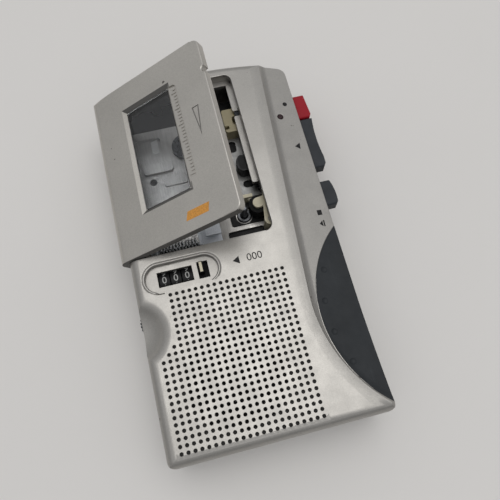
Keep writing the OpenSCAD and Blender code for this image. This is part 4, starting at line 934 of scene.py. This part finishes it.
def build_grip_rim():
    """The rolled rim of the case along the grip, which sinks into the strip at both ends. Its lighter paint
    is a painted highlight.
    """
    cx, cy = 54.5, -30.2
    radius = 35.5
    wire = 0.16
    first = 160
    sweep = 65
    count = 48
    hollow_w = 2.6
    hollow_rise = 1.4
    end_sink = 1.6
    middle_lift = 1.2
    points = []
    for i in range(count + 1):
        turn = math.radians(first + sweep * i / count)
        x = cx + radius * math.cos(turn)
        y = cy + radius * math.sin(turn)
        hollow = max(0, 1 - strip_u(x, y) / hollow_w)
        sunk = wire * (end_sink - middle_lift * math.sin(math.pi * i / count))
        points.append(Vector((x, y, strip_z(x, y) + hollow_rise * hollow ** 2 - sunk)))
    piece("grip_rim", *tube(points, wire), "rim_paint", "case", smooth=True)


def build_digits():
    """White numerals around each counter wheel."""
    radius = 3.8
    middle_x = -19.35
    pitch = 3.45
    cy, cz = -8.15, 17.4
    step = math.radians(36)
    for i, name in enumerate(("hundreds", "tens", "units")):
        cx = middle_x + (i - 1) * pitch
        verts = []
        faces = []
        for digit in range(10):
            flat, polys = glyphs(str(digit), size=2.9, thick=0.025)
            faces += [[k + len(verts) for k in f] for f in polys]
            for v in flat:
                turn = v.y / radius - digit * step
                r = radius + v.z
                verts.append((cx + v.x, cy + r * math.sin(turn), cz + r * math.cos(turn)))
        piece("numerals_" + name, verts, faces, "white_ink", "counter_" + name)


def build_head_resin():
    """The black resin that fills the top of the record head's can."""
    low, high = (Vector(v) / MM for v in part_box("record_head"))
    inset = 0.45
    front_wall = 0.4
    corner = 1.3
    steps = 6
    lift = 0.06
    left = low.x + inset + front_wall + corner
    right = high.x - inset - corner
    lower = low.y + inset + corner
    upper = high.y - inset - corner
    outline = []
    for cx, cy, start in ((right, upper, 0), (left, upper, 90), (left, lower, 180), (right, lower, 270)):
        for i in range(steps + 1):
            turn = math.radians(start + 90 * i / steps)
            outline.append((cx + corner * math.cos(turn), cy + corner * math.sin(turn)))
    piece("head_resin", *raised([outline], level(high.z), lift), "black_plastic", "head_carriage")


def add_camera():
    """A camera at the photograph's place, from a fit to the front face's edges and the speaker holes."""
    data = bpy.data.cameras.new("camera")
    data.sensor_width = 36.0
    data.lens = 36.49
    data.clip_start = 0.01
    camera = bpy.data.objects.new("camera", data)
    bpy.context.scene.collection.objects.link(camera)
    place = Vector((-9.40, -52.40, 166.20))
    right = Vector((0.96927, -0.24580, 0.00972))
    down = Vector((-0.22976, -0.91871, -0.32123))
    forward = Vector((0.08789, 0.30913, -0.94695))
    turn = Matrix((right, -down, -forward)).transposed().to_4x4()
    camera.matrix_world = Matrix.Translation(place * MM) @ turn
    bpy.context.scene.camera = camera


def add_lamp(name, place, size, power, color):
    """A rectangular lamp aimed at the origin."""
    data = bpy.data.lights.new(name, "AREA")
    data.shape = "RECTANGLE"
    data.size, data.size_y = size
    data.energy = power
    data.color = color
    lamp = bpy.data.objects.new(name, data)
    lamp.location = place
    lamp.rotation_euler = (-Vector(place)).to_track_quat("-Z", "Y").to_euler()
    bpy.context.scene.collection.objects.link(lamp)


def add_world(horizon, overhead):
    """A studio dome that is brightest overhead and dims towards the horizon, most of all in front."""
    world = bpy.data.worlds.new("studio")
    world.use_nodes = True
    tree = world.node_tree
    background = tree.nodes["Background"]
    fill(background, Color=(0.98, 0.985, 1.0, 1))
    coords = tree.nodes.new("ShaderNodeTexCoord")
    height = tree.nodes.new("ShaderNodeVectorMath")
    height.operation = "DOT_PRODUCT"
    brightest = (0, 0.2, 1)
    height.inputs[1].default_value = brightest
    rise = tree.nodes.new("ShaderNodeMapRange")
    fill(rise, From_Min=-0.1, From_Max=1.0, To_Min=horizon, To_Max=overhead)
    tree.links.new(coords.outputs["Generated"], height.inputs[0])
    tree.links.new(height.outputs["Value"], rise.inputs["Value"])
    tree.links.new(rise.outputs["Result"], background.inputs["Strength"])
    bpy.context.scene.world = world


def add_stage():
    """The floor and the light."""
    bm = bmesh.new()
    bmesh.ops.create_grid(bm, x_segments=2, y_segments=2, size=1.5)
    s = Shader("floor")
    dark = (0.69, 0.675, 0.655)
    light = (0.71, 0.695, 0.675)
    s.color(s.ramp(s.noise(scale=6, detail=3), MIDDLE, (dark, light)))
    s.rough(s.noise(scale=200, detail=3), low=0.75, high=0.85)
    floor = new_object("floor", bm, s.material)
    add_world(horizon=0.2, overhead=0.8)
    add_lamp("key_light", place=(0.08, 0.08, 0.85), size=(0.6, 0.55), power=1.95, color=(1, 0.985, 0.96))
    bpy.context.scene.view_settings.view_transform = "Standard"


dressed = dress_nodes()
for node, material, chosen in REPAINTS:
    repaint(dressed[node], material, chosen)
build_springs()
build_grille()
build_strip_symbols()
build_reset_signs()
build_lid_stripe()
build_port_strokes()
build_lid_scale()
build_recess_lip()
build_grip_rim()
build_digits()
build_head_resin()
add_camera()
add_stage()
bpy.context.view_layer.update()
